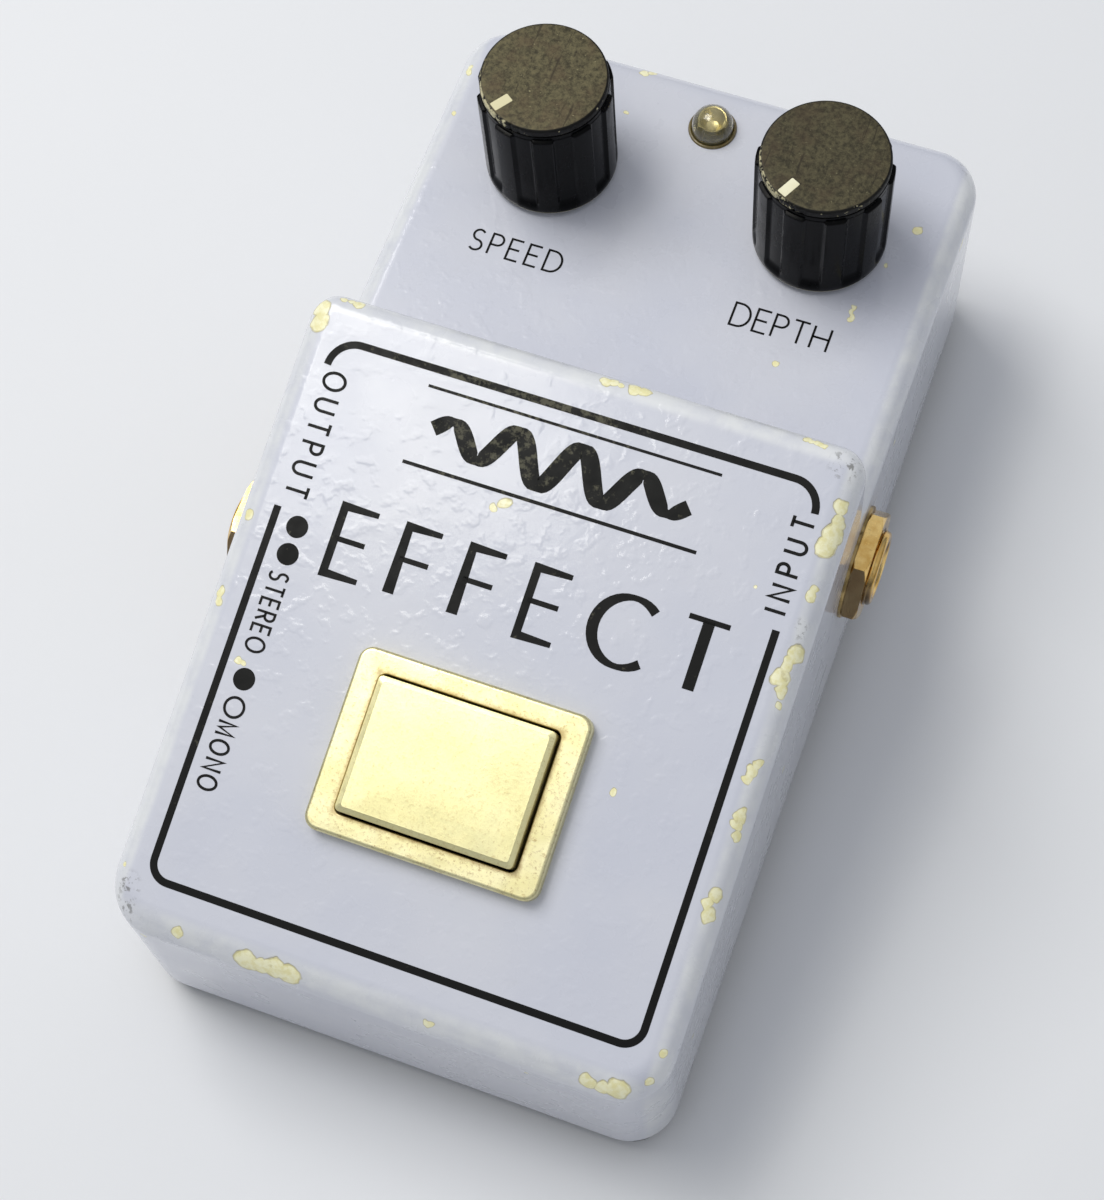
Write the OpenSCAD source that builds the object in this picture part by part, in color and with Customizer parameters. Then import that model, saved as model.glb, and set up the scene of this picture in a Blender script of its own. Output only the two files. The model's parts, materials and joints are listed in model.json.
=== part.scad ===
// Guitar effects pedal: a die-cast case with a sloped front face and a lower rear panel,
// a plated foot button in a bezel, two fluted knobs, an indicator lamp, three 1/4 inch jacks,
// and the switch, circuit board, potentiometers, battery and wiring inside.
// Millimetres. +X is the right side, +Y the rear, +Z up. The origin lies on the floor
// under the middle of the case.

/* [Case] */
// Width of the casting
body_w = 67.5; // [66:0.5:70]
// Length of the casting, front to rear
body_l = 124; // [124:0.5:126]
// Height of the top edge of the front face above the floor
front_z = 28.9; // [28.5:0.1:29.5]
// Height of the ridge at the rear end of the sloped face
ridge_z = 49.5; // [49:0.1:50]
// Height of the rear panel above the floor
panel_z = 34.9; // [34.5:0.1:35.2]
// Length of the raised front block
block_l = 74.1; // [73.5:0.1:75]
// Wall thickness of the casting
wall = 3; // [2.8:0.1:3]
// Radius of the upright corners
corner_r = 6; // [5:0.5:6]
// Radius of the edges round the top faces
edge_r = 3; // [2:0.5:3]
// Thickness of the base plate
plate_t = 1.2; // [1:0.1:1.2]
// Height of the rubber feet
foot_h = 2.4; // [2.4:0.1:3]

/* [Foot button] */
// Width of the bezel
bezel_w = 27.9; // [27:0.1:29]
// Length of the bezel along the slope
bezel_l = 21.6; // [21:0.1:23]
// Height of the bezel above the sloped face
bezel_h = 2; // [1.5:0.1:2.5]
// Width of the button
button_w = 21.2; // [20.8:0.1:21.2]
// Length of the button along the slope
button_l = 15.9; // [15.5:0.1:15.9]
// How far the button stands above the bezel
button_up = 1.5; // [1.4:0.1:2]
// Travel of the button
button_travel = 1.3; // [1:0.1:1.3]
// Place of the button's middle, from the front of the case
button_at = 26.6; // [26:0.1:27.5]

/* [Knobs and lamp] */
// Distance of each knob from the middle line
knob_x = 17.4; // [16.5:0.1:18]
// Place of the knobs, from the front of the case
knob_at = 106.3; // [106:0.1:107]
// Height of a knob's top above the rear panel
knob_h = 18.1; // [17.5:0.1:18.5]
// Largest radius of a knob
knob_r = 8.2; // [8:0.1:8.5]
// Direction of the left knob's pointer at its lower stop, anticlockwise from the rear
speed_stop = 144; // [135:1:155]
// Direction of the right knob's pointer at its lower stop, anticlockwise from the rear
depth_stop = 153; // [135:1:155]
// Place of the lamp, from the front of the case
lamp_at = 117; // [116.5:0.1:117.5]

/* [Jacks] */
// Height of the jack axes above the floor
jack_z = 24.2; // [23.5:0.1:24.5]
// Place of the two rear jacks, from the front of the case
jack_at = 71.2; // [70.7:0.1:71.7]
// Distance between the two output jacks
jack_pitch = 19.4; // [19:0.1:20]
// Radius of the hole that takes the plug
plug_r = 3.25; // [3.2:0.01:3.3]
// How far the input jack stands out from the side of the case
jack_out = 3.25; // [3:0.05:3.5]
// How far an output jack stands out, on its thicker washer
output_out = 4.7; // [4.2:0.05:4.7]

/* [Hidden] */
$fn = 48;
eps = 0.01;

// Case
z0 = foot_h + plate_t;
y_front = -body_l / 2;
y_rear = body_l / 2;
y_ridge = y_front + block_l;
slope = atan((ridge_z - front_z) / block_l);
in_w = body_w - 2 * wall;
post_x = body_w / 2 - 5.35;
post_y = body_l / 2 - 5.1;
post_r = 3.6;
m3_r = 1.5;
m3_hole_r = 1.55;
// Foot button, measured along the normal of the sloped face from its surface
button_y = y_front + button_at;
hole_w = 24.2;
hole_l = 18.9;
cap_t = 1;
stem_n = -3.4;
board_n = -8.2;
pan_n = -9.4;
pan_t = 1;
boss_x = 17.5;
boss_n = -6;
switch_h = 3.2;
// Knobs and potentiometers
knob_y = y_front + knob_at;
knob_z = panel_z + knob_h;
knob_gap = 0.8;
cap_h = 1.2;
cap_r = knob_r - 0.5;
shaft_r = 3;
shaft_run = 0.04;
pot_r = 8.2;
pot_h = 8;
thread_r = 3.5;
// Lamp
lamp_y = y_front + lamp_at;
lamp_r = 2.45;
// Jacks
jack_y = y_front + jack_at;
side_x = body_w / 2;
bushing_r = 4.7;
washer_t = 0.4;
jack_body = 14;
jack_back = 24;
lug_end = 28;
dc_x = 18;
dc_z = 17;
dc_sink = 1.6;
// Board and battery
board_z = 7;
board_t = 1.6;
board_w = 56;
board_y0 = -17;
board_y1 = 51;
top_z = board_z + board_t;
battery_x0 = -27;
battery_x1 = 19;
battery_y0 = -51.8;
battery_y1 = -25.3;
battery_z0 = 4;
battery_h = 17.5;
bay_x = 26.8;
bay_y0 = -52.4;
hinge_y = -22.8;
hinge_z = 4.6;
hinge_gap = 2.5;
pin_r = 0.8;

// Height of the sloped face at y
function face_z(y) = front_z + (y - y_front) * tan(slope);

// Points of an arc of radius r about c, from angle a to angle b
function arc(c, r, a, b, n = 8) =
    [for (i = [0:n]) c + r * [cos(a + (b - a) * i / n), sin(a + (b - a) * i / n)]];

// Points of a cubic curve from p[0] to p[3]
function curve(p, n = 12) = [
    for (i = [0:n])
        let (t = i / n, u = 1 - t)
            u * u * u * p[0] + 3 * u * u * t * p[1] + 3 * u * t * t * p[2] + t * t * t * p[3]
];

function unit(v) = v / norm(v);

// A round tube along a list of points
module tube(path, r, ref = [0.3, 1, 0.2], sides = 8) {
    last = len(path) - 1;
    rings = [
        for (i = [0:last])
            let (
                t = unit(path[min(i + 1, last)] - path[max(i - 1, 0)]),
                u = unit(cross(t, ref)),
                v = cross(t, u)
            )
                [for (k = [0:sides - 1]) path[i] + r * (u * cos(360 * k / sides) + v * sin(360 * k / sides))]
    ];
    walls = [
        for (i = [0:last - 1], k = [0:sides - 1])
            let (a = i * sides + k, b = i * sides + (k + 1) % sides)
                [a, b, b + sides, a + sides]
    ];
    first_cap = [for (k = [sides - 1:-1:0]) k];
    last_cap = [for (k = [0:sides - 1]) last * sides + k];
    polyhedron([for (ring = rings, p = ring) p], concat([first_cap], walls, [last_cap]), convexity = 8);
}

// A rectangle with round corners, centred
module round_rect(w, l, r) {
    square([w - 2 * r, l], center = true);
    square([w, l - 2 * r], center = true);
    for (x = [-1, 1], y = [-1, 1])
        translate([x * (w / 2 - r), y * (l / 2 - r)])
            circle(r);
}

module round_block(w, l, h, r) {
    linear_extrude(h)
        round_rect(w, l, r);
}

// A box that spans two corners
module box(a, b) {
    translate(a)
        cube(b - a);
}

// Moves children from the sloped face's own frame: x, uphill, outward normal
module on_slope() {
    translate([0, button_y, face_z(button_y)])
        rotate([slope, 0, 0])
            children();
}

// A side outline in y and z, extruded across the width w
module across(w) {
    rotate([90, 0, 90])
        translate([0, 0, -w / 2])
            linear_extrude(w)
                children();
}

module at_jacks() {
    translate([side_x, jack_y, jack_z])
        children();
    at_output_jacks()
        children();
}

module at_output_jacks() {
    for (y = [jack_y, jack_y - jack_pitch])
        translate([-side_x, y, jack_z])
            mirror([1, 0, 0])
                children();
}

module at_pots() {
    for (x = [-knob_x, knob_x])
        translate([x, knob_y, 0])
            children();
}

module hex(af, h) {
    cylinder(d = af / cos(30), h = h, $fn = 6);
}

// ---------- Case ----------

// Upright outline of the raised block, with its larger corners at the front
module block_plan() {
    back_r = 3.5;
    translate([0, (y_front + y_ridge) / 2])
        round_rect(body_w, block_l, back_r);
}

module footprint() {
    round_rect(body_w, body_l, corner_r);
}

module raised_block() {
    front_c = [y_front + edge_r, face_z(y_front + edge_r) - edge_r / cos(slope)];
    ridge_c = [y_ridge - edge_r, face_z(y_ridge - edge_r) - edge_r / cos(slope)];
    intersection() {
        linear_extrude(ridge_z + 10)
            intersection() {
                footprint();
                block_plan();
            }
        across(body_w + 10)
            polygon(concat(
                [[y_front, z0]],
                arc(front_c, edge_r, 180, 90 + slope),
                arc(ridge_c, edge_r, 90 + slope, 0),
                [[y_ridge, z0]]
            ));
        on_slope()
            rotate([90, 0, 0])
                translate([0, 0, -body_l])
                    linear_extrude(2 * body_l)
                        rounded_top(body_w, 70);
    }
}

// A section with two round upper corners whose top is at 0
module rounded_top(w, h) {
    translate([-w / 2, -h])
        square([w, h - edge_r]);
    translate([-w / 2 + edge_r, -h])
        square([w - 2 * edge_r, h]);
    for (x = [-1, 1])
        translate([x * (w / 2 - edge_r), -edge_r])
            circle(edge_r);
}

module rear_block() {
    start = y_ridge - 20;
    intersection() {
        linear_extrude(panel_z)
            footprint();
        across(body_w + 10)
            polygon(concat(
                [[start, z0], [start, panel_z]],
                arc([y_rear - edge_r, panel_z - edge_r], edge_r, 90, 0),
                [[y_rear, z0]]
            ));
        rotate([90, 0, 0])
            translate([0, panel_z, -body_l])
                linear_extrude(2 * body_l)
                    rounded_top(body_w, panel_z);
    }
}

module cavity() {
    drop = wall / cos(slope);
    intersection() {
        translate([0, 0, -1])
            round_block(in_w, body_l - 2 * wall, ridge_z + 10, corner_r - wall);
        across(in_w + 1)
            polygon([
                [y_front + wall, z0 - 1],
                [y_front + wall, face_z(y_front + wall) - drop],
                [y_ridge - wall, face_z(y_ridge - wall) - drop],
                [y_ridge - wall, panel_z - wall],
                [y_rear - wall, panel_z - wall],
                [y_rear - wall, z0 - 1]
            ]);
    }
}

module posts() {
    for (x = [-post_x, post_x]) {
        translate([x, -post_y, z0])
            cylinder(r = post_r, h = face_z(-post_y) - wall - z0 + 0.5);
        translate([x, post_y, z0])
            cylinder(r = post_r, h = panel_z - wall - z0 + 0.5);
    }
}

module case() {
    color([0.74, 0.76, 0.84])
        difference() {
            union() {
                difference() {
                    union() {
                        raised_block();
                        rear_block();
                    }
                    cavity();
                }
                posts();
                on_slope()
                    for (x = [-boss_x, boss_x])
                        translate([x, 0, boss_n])
                            cylinder(r = 3.2, h = wall + 0.6);
            }
            for (x = [-post_x, post_x], y = [-post_y, post_y])
                translate([x, y, z0 - 1])
                    cylinder(r = m3_hole_r, h = 11);
            on_slope()
                translate([0, 0, -10])
                    round_block(hole_w, hole_l, 20, 1.5);
            on_slope()
                for (x = [-boss_x, boss_x])
                    translate([x, 0, boss_n - 1])
                        cylinder(r = m3_hole_r, h = 5.2);
            at_jacks()
                rotate([0, 90, 0])
                    translate([0, 0, -wall - 1])
                        cylinder(r = bushing_r + 0.1, h = wall + 3);
            at_pots()
                translate([0, 0, panel_z - wall - 1])
                    cylinder(r = thread_r + 0.1, h = wall + 2);
            translate([0, lamp_y, panel_z - wall - 1])
                cylinder(r = lamp_r + 0.5, h = wall + 2);
            translate([dc_x, y_rear - wall - 1, dc_z])
                rotate([-90, 0, 0])
                    cylinder(r = 3.1, h = wall + 2);
            translate([dc_x, y_rear - dc_sink, dc_z])
                rotate([-90, 0, 0])
                    cylinder(r = 5.5, h = dc_sink + 1);
        }
}

module base_plate() {
    ear_t = 1.2;
    color([0.16, 0.16, 0.17]) {
        difference() {
            translate([0, 0, foot_h])
                round_block(body_w - 0.6, body_l - 0.6, plate_t, corner_r - 0.3);
            box([-bay_x, bay_y0, foot_h - 1], [bay_x, hinge_y + hinge_gap, z0 + 1]);
            for (x = [-post_x, post_x], y = [-post_y, post_y])
                translate([x, y, foot_h - 1])
                    cylinder(r = m3_r + 0.2, h = plate_t + 2);
        }
        for (side = [-1, 1])
            difference() {
                translate([side * (bay_x + 0.2 + ear_t / 2), hinge_y, (z0 + 7) / 2])
                    cube([ear_t, 4, 7 - z0 + 2 * eps], center = true);
                translate([side * (bay_x - 1), hinge_y, hinge_z])
                    rotate([0, side * 90, 0])
                        cylinder(r = pin_r + 0.05, h = 4);
            }
    }
}

module base_screws() {
    head_z = 0.8;
    color([0.62, 0.62, 0.64])
        for (x = [-post_x, post_x], y = [-post_y, post_y])
            translate([x, y, head_z])
                difference() {
                    union() {
                        cylinder(r = m3_r, h = z0 + 8 - head_z);
                        cylinder(r = 2.7, h = foot_h - head_z);
                    }
                    for (a = [0, 90])
                        rotate([0, 0, a])
                            cube([3.2, 0.7, 1.6], center = true);
                }
}

module rubber_feet() {
    color([0.08, 0.08, 0.08])
        for (x = [-post_x, post_x], y = [-post_y, post_y])
            translate([x, y, 0])
                difference() {
                    union() {
                        translate([0, 0, 0.5])
                            cylinder(r = 4.3, h = foot_h - 0.5);
                        cylinder(r1 = 3.9, r2 = 4.3, h = 0.5);
                    }
                    translate([0, 0, -1])
                        cylinder(r = 2.75, h = foot_h + 2);
                }
}

module battery_door() {
    gap = 0.3;
    door_x = bay_x - gap;
    lug_t = 1.3;
    color([0.09, 0.09, 0.09]) {
        difference() {
            union() {
                box([-door_x, bay_y0 + gap, foot_h], [door_x, hinge_y + 1, z0 - 0.05]);
                for (side = [-1, 1])
                    translate([side * (door_x - lug_t / 2), hinge_y, 0])
                        difference() {
                            union() {
                                translate([-lug_t / 2, -1.5, foot_h + 0.3])
                                    cube([lug_t, 2.5, hinge_z - foot_h - 0.3]);
                                translate([-lug_t / 2, 0, hinge_z])
                                    rotate([0, 90, 0])
                                        cylinder(r = 1.5, h = lug_t);
                            }
                            translate([-lug_t, 1, foot_h - 1])
                                cube([2 * lug_t, 2, 8]);
                        }
                for (side = [-1, 1])
                    translate([side * (door_x - 0.5), hinge_y, hinge_z])
                        rotate([0, side * 90, 0])
                            cylinder(r = pin_r, h = 1.9);
            }
            // Thumb recess and grip grooves under the free edge
            for (i = [0:4])
                translate([0, bay_y0 + 3 + 1.6 * i, foot_h])
                    cube([14, 0.8, 0.8], center = true);
        }
    }
}

// ---------- Foot button ----------

module switch_bezel() {
    opening_w = button_w + 0.6;
    opening_l = button_l + 0.6;
    color([0.86, 0.84, 0.72])
        on_slope()
            difference() {
                union() {
                    round_block(bezel_w, bezel_l, bezel_h - 0.5, 2);
                    translate([0, 0, bezel_h - 0.5 - eps])
                        round_block(bezel_w - 1, bezel_l - 1, 0.5 + eps, 1.5);
                    translate([0, 0, -wall - 0.6])
                        round_block(hole_w - 0.2, hole_l - 0.2, wall + 1, 1.4);
                }
                translate([0, 0, -wall - 2])
                    round_block(opening_w, opening_l, wall + bezel_h + 4, 0.8);
            }
}

module foot_button() {
    top_n = bezel_h + button_up;
    bevel = 0.8;
    color([0.88, 0.86, 0.74])
        on_slope()
            difference() {
                union() {
                    translate([0, 0, -2])
                        round_block(button_w, button_l, top_n + 2 - bevel, 0.6);
                    hull() {
                        translate([0, 0, top_n - bevel - eps])
                            round_block(button_w, button_l, 0.1, 0.6, $fn = 32);
                        translate([0, 0, top_n - 0.1])
                            round_block(button_w - 2 * bevel, button_l - 2 * bevel, 0.1, 0.4, $fn = 32);
                    }
                }
                translate([0, 0, -3])
                    round_block(button_w - 2 * cap_t, button_l - 2 * cap_t, top_n + 3 - cap_t, 0.3);
            }
}

module button_stem() {
    top_n = bezel_h + button_up - cap_t;
    color([0.9, 0.9, 0.86])
        on_slope() {
            translate([0, 0, stem_n])
                cylinder(r = 2.4, h = top_n - stem_n);
            translate([0, 0, top_n - 1.2])
                round_block(button_w - 2 * cap_t - 0.2, button_l - 2 * cap_t - 0.2, 1.2, 0.3);
        }
}

module button_spring() {
    coil_r = 6.2;
    wire_r = 0.3;
    turns = 5;
    n0 = board_n + wire_r;
    n1 = bezel_h + button_up - cap_t - 1.2 - wire_r;
    steps = 24 * turns;
    color([0.7, 0.7, 0.72])
        on_slope()
            tube(
                [
                    for (i = [0:steps])
                        let (a = 360 * turns * i / steps)
                            [coil_r * cos(a), coil_r * sin(a), n0 + (n1 - n0) * i / steps]
                ],
                wire_r, [0, 0, 1], 6
            );
}

module switch_plunger() {
    color([0.75, 0.2, 0.15])
        on_slope()
            translate([0, 0, stem_n - 2.6])
                cylinder(r = 1.7, h = 2.6);
}

module foot_switch() {
    color([0.12, 0.12, 0.13])
        on_slope()
            difference() {
                translate([-3.8, -3.8, board_n])
                    cube([7.6, 7.6, switch_h]);
                translate([0, 0, stem_n - 2.6 - button_travel - 0.1])
                    cylinder(r = 1.75, h = 6);
            }
}

module switch_board() {
    color([0.55, 0.42, 0.2])
        on_slope() {
            difference() {
                translate([0, 0, pan_n])
                    round_block(18, 14.5, board_n - pan_n, 0.5);
                for (x = [-1, 1], y = [-1, 1])
                    translate([x * 2.5, y * 2.5, pan_n - 1])
                        cylinder(r = 0.5, h = 4);
            }
        }
    color([0.8, 0.8, 0.78])
        on_slope()
            for (x = [-1, 1], y = [-1, 1])
                translate([x * 2.5, y * 2.5, pan_n - 2.2])
                    cylinder(r = 0.45, h = 2.2 + board_n - pan_n);
}

module switch_bracket() {
    leg_x = 13.2;
    half_l = 8;
    flange_x = 21;
    color([0.6, 0.6, 0.62])
        on_slope()
            difference() {
                union() {
                    box([-leg_x - pan_t, -half_l, pan_n - pan_t], [leg_x + pan_t, half_l, pan_n]);
                    for (side = [-1, 1]) {
                        translate([side * (leg_x + pan_t / 2), 0, (pan_n - pan_t + boss_n) / 2])
                            cube([pan_t, 2 * half_l, boss_n - pan_n + pan_t], center = true);
                        translate([side * (leg_x + flange_x) / 2, 0, boss_n - pan_t / 2])
                            cube([flange_x - leg_x, 2 * half_l, pan_t], center = true);
                    }
                }
                for (x = [-boss_x, boss_x])
                    translate([x, 0, boss_n - 3])
                        cylinder(r = m3_r + 0.2, h = 4);
                translate([0, 0, pan_n - pan_t / 2])
                    cube([8, 8, 3], center = true);
            }
}

module bracket_screws() {
    color([0.66, 0.66, 0.68])
        on_slope()
            for (x = [-boss_x, boss_x])
                translate([x, 0, boss_n - pan_t])
                    difference() {
                        union() {
                            cylinder(r = m3_r, h = 4.4);
                            translate([0, 0, -1.8])
                                cylinder(r = 2.7, h = 1.8);
                        }
                        translate([0, 0, -1.8])
                            for (a = [0, 90])
                                rotate([0, 0, a])
                                    cube([3.2, 0.7, 1.6], center = true);
                    }
}

// ---------- Knobs and potentiometers ----------

module knob(x, stop) {
    flutes = 10;
    skirt_z = panel_z + knob_gap;
    shoulder_z = knob_z - cap_h;
    recess_h = 3.2;
    color([0.05, 0.05, 0.055])
        translate([x, knob_y, 0])
            difference() {
                union() {
                    translate([0, 0, skirt_z])
                        cylinder(r = knob_r, h = shoulder_z - 0.6 - skirt_z, $fn = 96);
                    translate([0, 0, shoulder_z - 0.6 - eps])
                        cylinder(r = cap_r + 0.1, h = 0.6 + eps, $fn = 96);
                }
                for (i = [0:flutes - 1])
                    rotate([0, 0, stop + i * 360 / flutes])
                        translate([0, knob_r + 2.2, skirt_z - 1])
                            cylinder(r = 2.6, h = knob_h);
                translate([0, 0, skirt_z - 1])
                    cylinder(r = 6.9, h = recess_h + 1);
                translate([0, 0, skirt_z])
                    difference() {
                        cylinder(r = shaft_r + 0.02, h = shoulder_z - 2.4 - skirt_z);
                        translate([-5, 1.62, 6.2])
                            cube([10, 5, 20]);
                    }
            }
}

module knob_cap(x, stop) {
    chamfer = 0.25;
    color([0.38, 0.36, 0.28])
        translate([x, knob_y, knob_z - cap_h])
            rotate([0, 0, stop])
                difference() {
                    union() {
                        cylinder(r = cap_r, h = cap_h - chamfer);
                        translate([0, 0, cap_h - chamfer])
                            cylinder(r1 = cap_r, r2 = cap_r - chamfer, h = chamfer);
                    }
                    pointer_bar(0.3);
                }
}

// The pointer's bar, set flush into the cap to the given depth
module pointer_bar(depth) {
    translate([-0.65, cap_r - 2.9, cap_h - depth])
        cube([1.3, 2.5, depth]);
}

module pointer(x, stop) {
    color([0.93, 0.92, 0.8])
        translate([x, knob_y, knob_z - cap_h])
            rotate([0, 0, stop])
                pointer_bar(0.3);
}

module shaft(x) {
    color([0.72, 0.72, 0.74])
        translate([x, knob_y, 0])
            difference() {
                translate([0, 0, panel_z - wall - pot_h + 3])
                    cylinder(r = shaft_r, h = knob_z - cap_h - 3 - (panel_z - wall - pot_h + 3));
                translate([-5, 1.6, panel_z + knob_gap + 6])
                    cube([10, 5, 20]);
            }
}

module speed_knob() {
    knob(-knob_x, speed_stop);
}

module speed_knob_cap() {
    knob_cap(-knob_x, speed_stop);
}

module speed_pointer() {
    pointer(-knob_x, speed_stop);
}

module speed_shaft() {
    shaft(-knob_x);
}

module depth_knob() {
    knob(knob_x, depth_stop);
}

module depth_knob_cap() {
    knob_cap(knob_x, depth_stop);
}

module depth_pointer() {
    pointer(knob_x, depth_stop);
}

module depth_shaft() {
    shaft(knob_x);
}

module pot_housings() {
    color([0.62, 0.62, 0.64])
        at_pots()
            translate([0, 0, panel_z - wall - pot_h])
                difference() {
                    cylinder(r = pot_r, h = pot_h);
                    translate([0, 0, 2.9])
                        cylinder(r = shaft_r + shaft_run, h = pot_h);
                    translate([0, 0, pot_h - 1.5])
                        cylinder(r = thread_r + 0.5, h = 2);
                    // Step for the terminal strip
                    translate([-5, -pot_r - 1, -1])
                        cube([10, 3.2, 4]);
                }
}

module pot_bushings() {
    color([0.72, 0.62, 0.36])
        at_pots()
            translate([0, 0, panel_z - wall - 1.5])
                difference() {
                    union() {
                        cylinder(r = thread_r, h = wall + 1.5 + 3.2);
                        cylinder(r = thread_r + 0.45, h = 1.45);
                    }
                    translate([0, 0, -1])
                        cylinder(r = shaft_r + shaft_run, h = 12);
                }
}

module pot_terminals() {
    color([0.82, 0.82, 0.8])
        at_pots()
            for (i = [-1:1])
                translate([i * 3 - 0.6, -pot_r - 3.2, panel_z - wall - pot_h + 1])
                    cube([1.2, 5, 0.4]);
}

module pot_washers() {
    color([0.7, 0.7, 0.72])
        at_pots()
            translate([0, 0, panel_z])
                difference() {
                    cylinder(r = 5.8, h = 0.5);
                    translate([0, 0, -1])
                        cylinder(r = thread_r + 0.1, h = 3);
                }
}

module pot_nuts() {
    color([0.7, 0.7, 0.72])
        at_pots()
            translate([0, 0, panel_z + 0.5])
                difference() {
                    hex(10, 2);
                    translate([0, 0, -1])
                        cylinder(r = thread_r + 0.02, h = 4);
                }
}

// ---------- Jacks ----------

module jack_bushing(out) {
    rotate([0, 90, 0])
        difference() {
            union() {
                translate([0, 0, -wall - 3])
                    cylinder(r = bushing_r, h = wall + 3 + out);
                translate([0, 0, -wall - 3])
                    cylinder(r = bushing_r + 1, h = 1.5);
            }
            translate([0, 0, -wall - 4])
                cylinder(r = plug_r, h = wall + 5 + out);
            translate([0, 0, out - 0.5])
                cylinder(r1 = plug_r, r2 = plug_r + 0.6, h = 0.6);
        }
}

module jack_housing() {
    chamber_r = 4.6;
    end_t = 1.5;
    difference() {
        translate([-jack_back, -jack_body / 2, -jack_body / 2])
            cube([jack_back - wall, jack_body, jack_body]);
        rotate([0, 90, 0]) {
            translate([0, 0, -wall - 3.05])
                cylinder(r = bushing_r + 1.05, h = 4);
            translate([0, 0, -jack_back + end_t])
                cylinder(r = chamber_r, h = jack_back);
        }
        // Slots for the two contacts
        box([-jack_back - 1, -1.7, 3.6], [-jack_back + end_t + 1, 1.7, 4.4]);
        box([-jack_back - 1, -1.7, -4.6], [-19, 1.7, -3.8]);
    }
}

module input_jack_bushing() {
    color([0.72, 0.6, 0.34])
        translate([side_x, jack_y, jack_z])
            jack_bushing(jack_out);
}

module input_jack_body() {
    color([0.08, 0.08, 0.09])
        translate([side_x, jack_y, jack_z])
            jack_housing();
}

module output_jack_bushings() {
    color([0.72, 0.6, 0.34])
        at_output_jacks()
            jack_bushing(output_out);
}

module output_jack_bodies() {
    color([0.08, 0.08, 0.09])
        at_output_jacks()
            jack_housing();
}

module jack_contacts() {
    color([0.82, 0.78, 0.6])
        at_jacks() {
            box([-lug_end, -1.5, 3.8], [-9, 1.5, 4.2]);
            box([-lug_end, -1.5, -4.4], [-20, 1.5, -4]);
        }
}

module jack_washer(thick) {
    rotate([0, 90, 0])
        difference() {
            cylinder(r = 7, h = thick);
            translate([0, 0, -1])
                cylinder(r = bushing_r + 0.1, h = thick + 2);
        }
}

module jack_washers() {
    color([0.62, 0.58, 0.46]) {
        translate([side_x, jack_y, jack_z])
            jack_washer(washer_t);
        at_output_jacks()
            jack_washer(washer_t + output_out - jack_out);
    }
}

// A nut whose inner face lies the distance from out of the case's side
module jack_nut(from) {
    translate([from, 0, 0])
        rotate([90, 0, 90])
            difference() {
                intersection() {
                    hex(12.7, 1.9);
                    cylinder(r1 = 7.6, r2 = 6.7, h = 1.9);
                }
                translate([0, 0, -1])
                    cylinder(r = bushing_r + 0.02, h = 4);
            }
}

module jack_nuts() {
    color([0.75, 0.62, 0.34]) {
        translate([side_x, jack_y, jack_z])
            jack_nut(washer_t);
        at_output_jacks()
            jack_nut(washer_t + output_out - jack_out);
    }
}

module dc_jack_bushing() {
    color([0.72, 0.72, 0.74])
        translate([dc_x, y_rear - 0.2, dc_z])
            rotate([90, 0, 0])
                difference() {
                    cylinder(r = 3, h = 4.8);
                    translate([0, 0, -1])
                        cylinder(r = 1.8, h = 8);
                }
}

module dc_jack_body() {
    color([0.08, 0.08, 0.09])
        difference() {
            translate([dc_x - 4.5, y_rear - wall - 12, dc_z - 4.5])
                cube([9, 12, 9]);
            translate([dc_x, y_rear, dc_z])
                rotate([90, 0, 0]) {
                    cylinder(r = 3.05, h = 5.1);
                    cylinder(r = 2.6, h = 13.5);
                }
        }
}

module dc_jack_nut() {
    color([0.75, 0.75, 0.77])
        translate([dc_x, y_rear - 0.3, dc_z])
            rotate([90, 0, 0])
                difference() {
                    cylinder(r = 4.6, h = dc_sink - 0.3);
                    translate([0, 0, -1])
                        cylinder(r = 3.05, h = 4);
                    for (a = [0, 180])
                        rotate([0, 0, a])
                            translate([4.6, 0, 0])
                                cube([1.6, 1, 1.4], center = true);
                }
}

// ---------- Lamp ----------

module lamp_lens() {
    rise = 0.9;
    color([0.93, 0.9, 0.7])
        translate([0, lamp_y, 0])
            difference() {
                union() {
                    translate([0, 0, panel_z - wall - 2])
                        cylinder(r = lamp_r, h = wall + 2 + rise);
                    translate([0, 0, panel_z + rise])
                        sphere(r = lamp_r);
                    translate([0, 0, panel_z - wall - 2])
                        cylinder(r = lamp_r + 0.4, h = 1);
                }
                translate([0, 0, panel_z - wall - 4])
                    cylinder(r = 1.3, h = 5.5);
            }
}

module lamp_clip() {
    color([0.85, 0.84, 0.76])
        translate([0, lamp_y, 0])
            difference() {
                union() {
                    translate([0, 0, panel_z - wall])
                        cylinder(r = lamp_r + 0.45, h = wall + 0.1);
                    translate([0, 0, panel_z])
                        cylinder(r1 = lamp_r + 0.6, r2 = lamp_r + 0.4, h = 0.5);
                }
                translate([0, 0, panel_z - wall - 1])
                    cylinder(r = lamp_r + 0.03, h = 8);
            }
}

module lamp_leads() {
    color([0.75, 0.75, 0.75])
        for (x = [-0.7, 0.7])
            translate([x, lamp_y, panel_z - wall - 8])
                cylinder(r = 0.28, h = 9);
}

// ---------- Circuit board ----------

// Spaced places along x on one line of the board
function along(count, span, y) = [for (i = [0:count - 1]) [-span / 2 + span * i / (count - 1), y]];

standoffs = [for (x = [-24.5, 24.5], y = [board_y0 + 3.5, board_y1 - 3.5]) [x, y]];

module on_board(places) {
    for (p = places)
        translate([p[0], p[1], top_z])
            children();
}

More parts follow.
